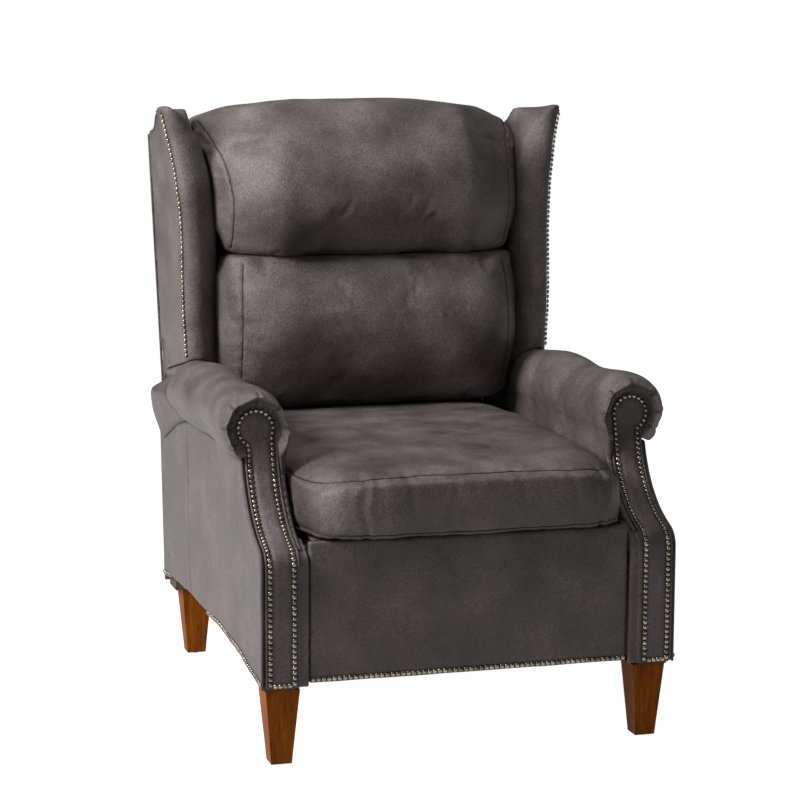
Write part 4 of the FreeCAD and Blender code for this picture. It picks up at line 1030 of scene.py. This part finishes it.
def pillow_form(place, normal):
    """The ends run back and, near the top, out to the wings, and the top edge falls a little to the corners."""
    share = abs(place.x) / 300
    end = smooth(share, 0.60, 0.97)
    rear = rear_y(place.z, CUSHION_REAR) if place.z < 1100 else 470.0
    ahead = min(max((rear - place.y) / (rear - 150), 0.0), 1.0)
    out = read_off(PILLOW_FLARE, place.z) * smooth(share, 0.68, 1.0)
    return Vector((math.copysign(out, place.x), read_off(PILLOW_SET_BACK, place.z) * end * ahead,
                   -(3.0 + 16.0 * smooth(share, 0.15, 0.9)) * smooth(place.z, 1020, 1130)
                   - (9.0 * smooth(190 - place.y, 0, 45) + 11.0 * smooth(share, 0.72, 0.96))
                   * smooth(905 - place.z, 0, 60)))


def build_head_pillow():
    obj = remeshed("head_pillow", "skin_head_pillow", 6.5, 4)
    shift_points(obj, lambda place, normal: -normal * 1.5)
    swell(obj, 8.0, 3)
    shift_points(obj, pillow_form)

    def keep_in(place, normal):
        move = STILL.copy()
        if place.z < 1100:
            limit = rear_y(place.z, CUSHION_REAR)
            if place.y > limit:
                move.y = limit - place.y
        floor = 841.5 - 8.0 * smooth(180 - place.y, 0, 30)
        if place.z < floor:
            move.z = floor - place.z
        if place.z > 1145:
            move.z = 1145 - place.z
        side = 302 + read_off(PILLOW_FLARE, place.z)
        if abs(place.x) > side:
            move.x = math.copysign(side - abs(place.x), place.x)
        return move
    shift_points(obj, keep_in)
    subdivided(obj)
    uneven(obj, 2.0, 120, 81)
    skin = Surface(obj)
    lines = []
    for side in (1, -1):
        lines.append(end_seam(skin, side, lambda z: read_off(PILLOW_SEAM_X, z), 856, 1110))
    # Presses the end seams in and paints shade along them.
    grooved(obj, lines, 2.2, 3.4, 1.2, 35.0, 30, shade=0.6)
    finish_piece(obj, "back", LEATHER)
    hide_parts("head_pillow")
    skin = Surface(obj)
    for number, line in enumerate(lines):
        pairs = [skin.nearest(place) for place in spaced(line, 6.0)]
        seam_and_shade_cord(f"seam_pillow_{number}", pairs, 1.3, 0.0, "back")


# Stage, lights and camera

FLOOR_HALF = 9000.0
FLOOR_Z = -0.5


def rays_seen(tree, other):
    """1 for rays from the camera and for one other kind of ray, else 0."""
    path = tree.nodes.new("ShaderNodeLightPath")
    seen = tree.nodes.new("ShaderNodeMath")
    seen.operation = "MAXIMUM"
    tree.links.new(path.outputs["Is Camera Ray"], seen.inputs[0])
    tree.links.new(path.outputs[other], seen.inputs[1])
    return seen.outputs[0]


def build_stage():
    mesh = bmesh.new()
    bmesh.ops.create_grid(mesh, x_segments=1, y_segments=1, size=FLOOR_HALF * MM,
                          matrix=Matrix.Translation((0, 0, FLOOR_Z * MM)))
    floor = mesh_object("floor", mesh)
    material = bpy.data.materials.new("stage_white")
    material.use_nodes = True
    tree = material.node_tree
    shader = tree.nodes["Principled BSDF"]
    shader.inputs["Base Color"].default_value = (0.3, 0.3, 0.3, 1)
    shader.inputs["Roughness"].default_value = 0.9
    seen = rays_seen(tree, "Is Glossy Ray")
    glow = tree.nodes.new("ShaderNodeEmission")
    strength = tree.nodes.new("ShaderNodeMath")
    strength.operation = "MULTIPLY"
    strength.inputs[1].default_value = 0.97
    tree.links.new(seen, strength.inputs[0])
    tree.links.new(strength.outputs[0], glow.inputs["Strength"])
    added = tree.nodes.new("ShaderNodeAddShader")
    tree.links.new(shader.outputs[0], added.inputs[0])
    tree.links.new(glow.outputs[0], added.inputs[1])
    tree.links.new(added.outputs[0], tree.nodes["Material Output"].inputs["Surface"])
    floor.data.materials.append(material)
    world = bpy.data.worlds.new("studio")
    bpy.context.scene.world = world
    world.use_nodes = True
    tree = world.node_tree
    background = tree.nodes["Background"]
    seen = rays_seen(tree, "Is Transmission Ray")
    level = tree.nodes.new("ShaderNodeMapRange")
    level.inputs["To Min"].default_value = 0.19
    level.inputs["To Max"].default_value = 1.0
    tree.links.new(seen, level.inputs["Value"])
    tree.links.new(level.outputs["Result"], background.inputs["Strength"])
    background.inputs["Color"].default_value = (1, 1, 1, 1)


def area_light(name, place, target, size, power):
    data = bpy.data.lights.new(name, "AREA")
    data.shape = "RECTANGLE"
    data.size, data.size_y = size
    data.energy = power
    lamp = bpy.data.objects.new(name, data)
    lamp.location = place
    lamp.rotation_euler = (Vector(target) - Vector(place)).to_track_quat("-Z", "Y").to_euler()
    bpy.context.scene.collection.objects.link(lamp)


def build_lights():
    area_light("key_left", (-2.5, -0.55, 2.2), (0, 0, 0.7), (1.0, 1.0), 112)
    area_light("top_soft", (-0.6, -0.2, 3.6), (0, 0, 0.4), (1.8, 1.8), 34)
    area_light("front_fill", (-2.6, -2.8, 1.9), (0, 0, 0.9), (1.6, 1.6), 10)


def build_camera():
    yaw, pitch, roll = math.radians(16.28), math.radians(8.64), math.radians(0.26)
    toward = Vector((math.sin(yaw) * math.cos(pitch), math.cos(yaw) * math.cos(pitch), -math.sin(pitch)))
    right = Vector((math.cos(yaw), -math.sin(yaw), 0))
    up = right.cross(toward)
    axis_x = right * math.cos(roll) + up * math.sin(roll)
    axis_y = up * math.cos(roll) - right * math.sin(roll)
    data = bpy.data.cameras.new("camera")
    data.sensor_width = 36.0
    data.lens = 108.77
    data.clip_end = 60
    camera = bpy.data.objects.new("camera", data)
    turn = Matrix((axis_x, axis_y, -toward)).transposed().to_4x4()
    camera.matrix_world = Matrix.Translation((-1.300, -4.466, 1.279)) @ turn
    bpy.context.scene.collection.objects.link(camera)
    bpy.context.scene.camera = camera


for name, node in nodes.items():
    node.data.materials.clear()
    node.data.materials.append(SLOT_MATERIALS[slot_of[name]])

for sign, word in ((1, "right"), (-1, "left")):
    build_arm_front(sign, word)
    roll = build_arm_roll(sign, word)
    build_arm_side(sign, word)
    build_inside_arm(sign, word)
    inner_roll(sign, word)
    build_wing(sign, word, Surface(roll))
build_panel("outside_back", "back", 5.0, 3, 1.2, 140, 5)
build_panel("inside_back", "back", 7.0, 3, 1.0, 120, 6)
build_panel("lower_back_panel", "base", 5.0, 2, 0.8, 120, 7)
build_footrest_panel()
build_seat_cushion()
build_lower_cushion()
build_head_pillow()
build_stage()
build_lights()
build_camera()
bpy.context.scene.view_settings.view_transform = "Standard"
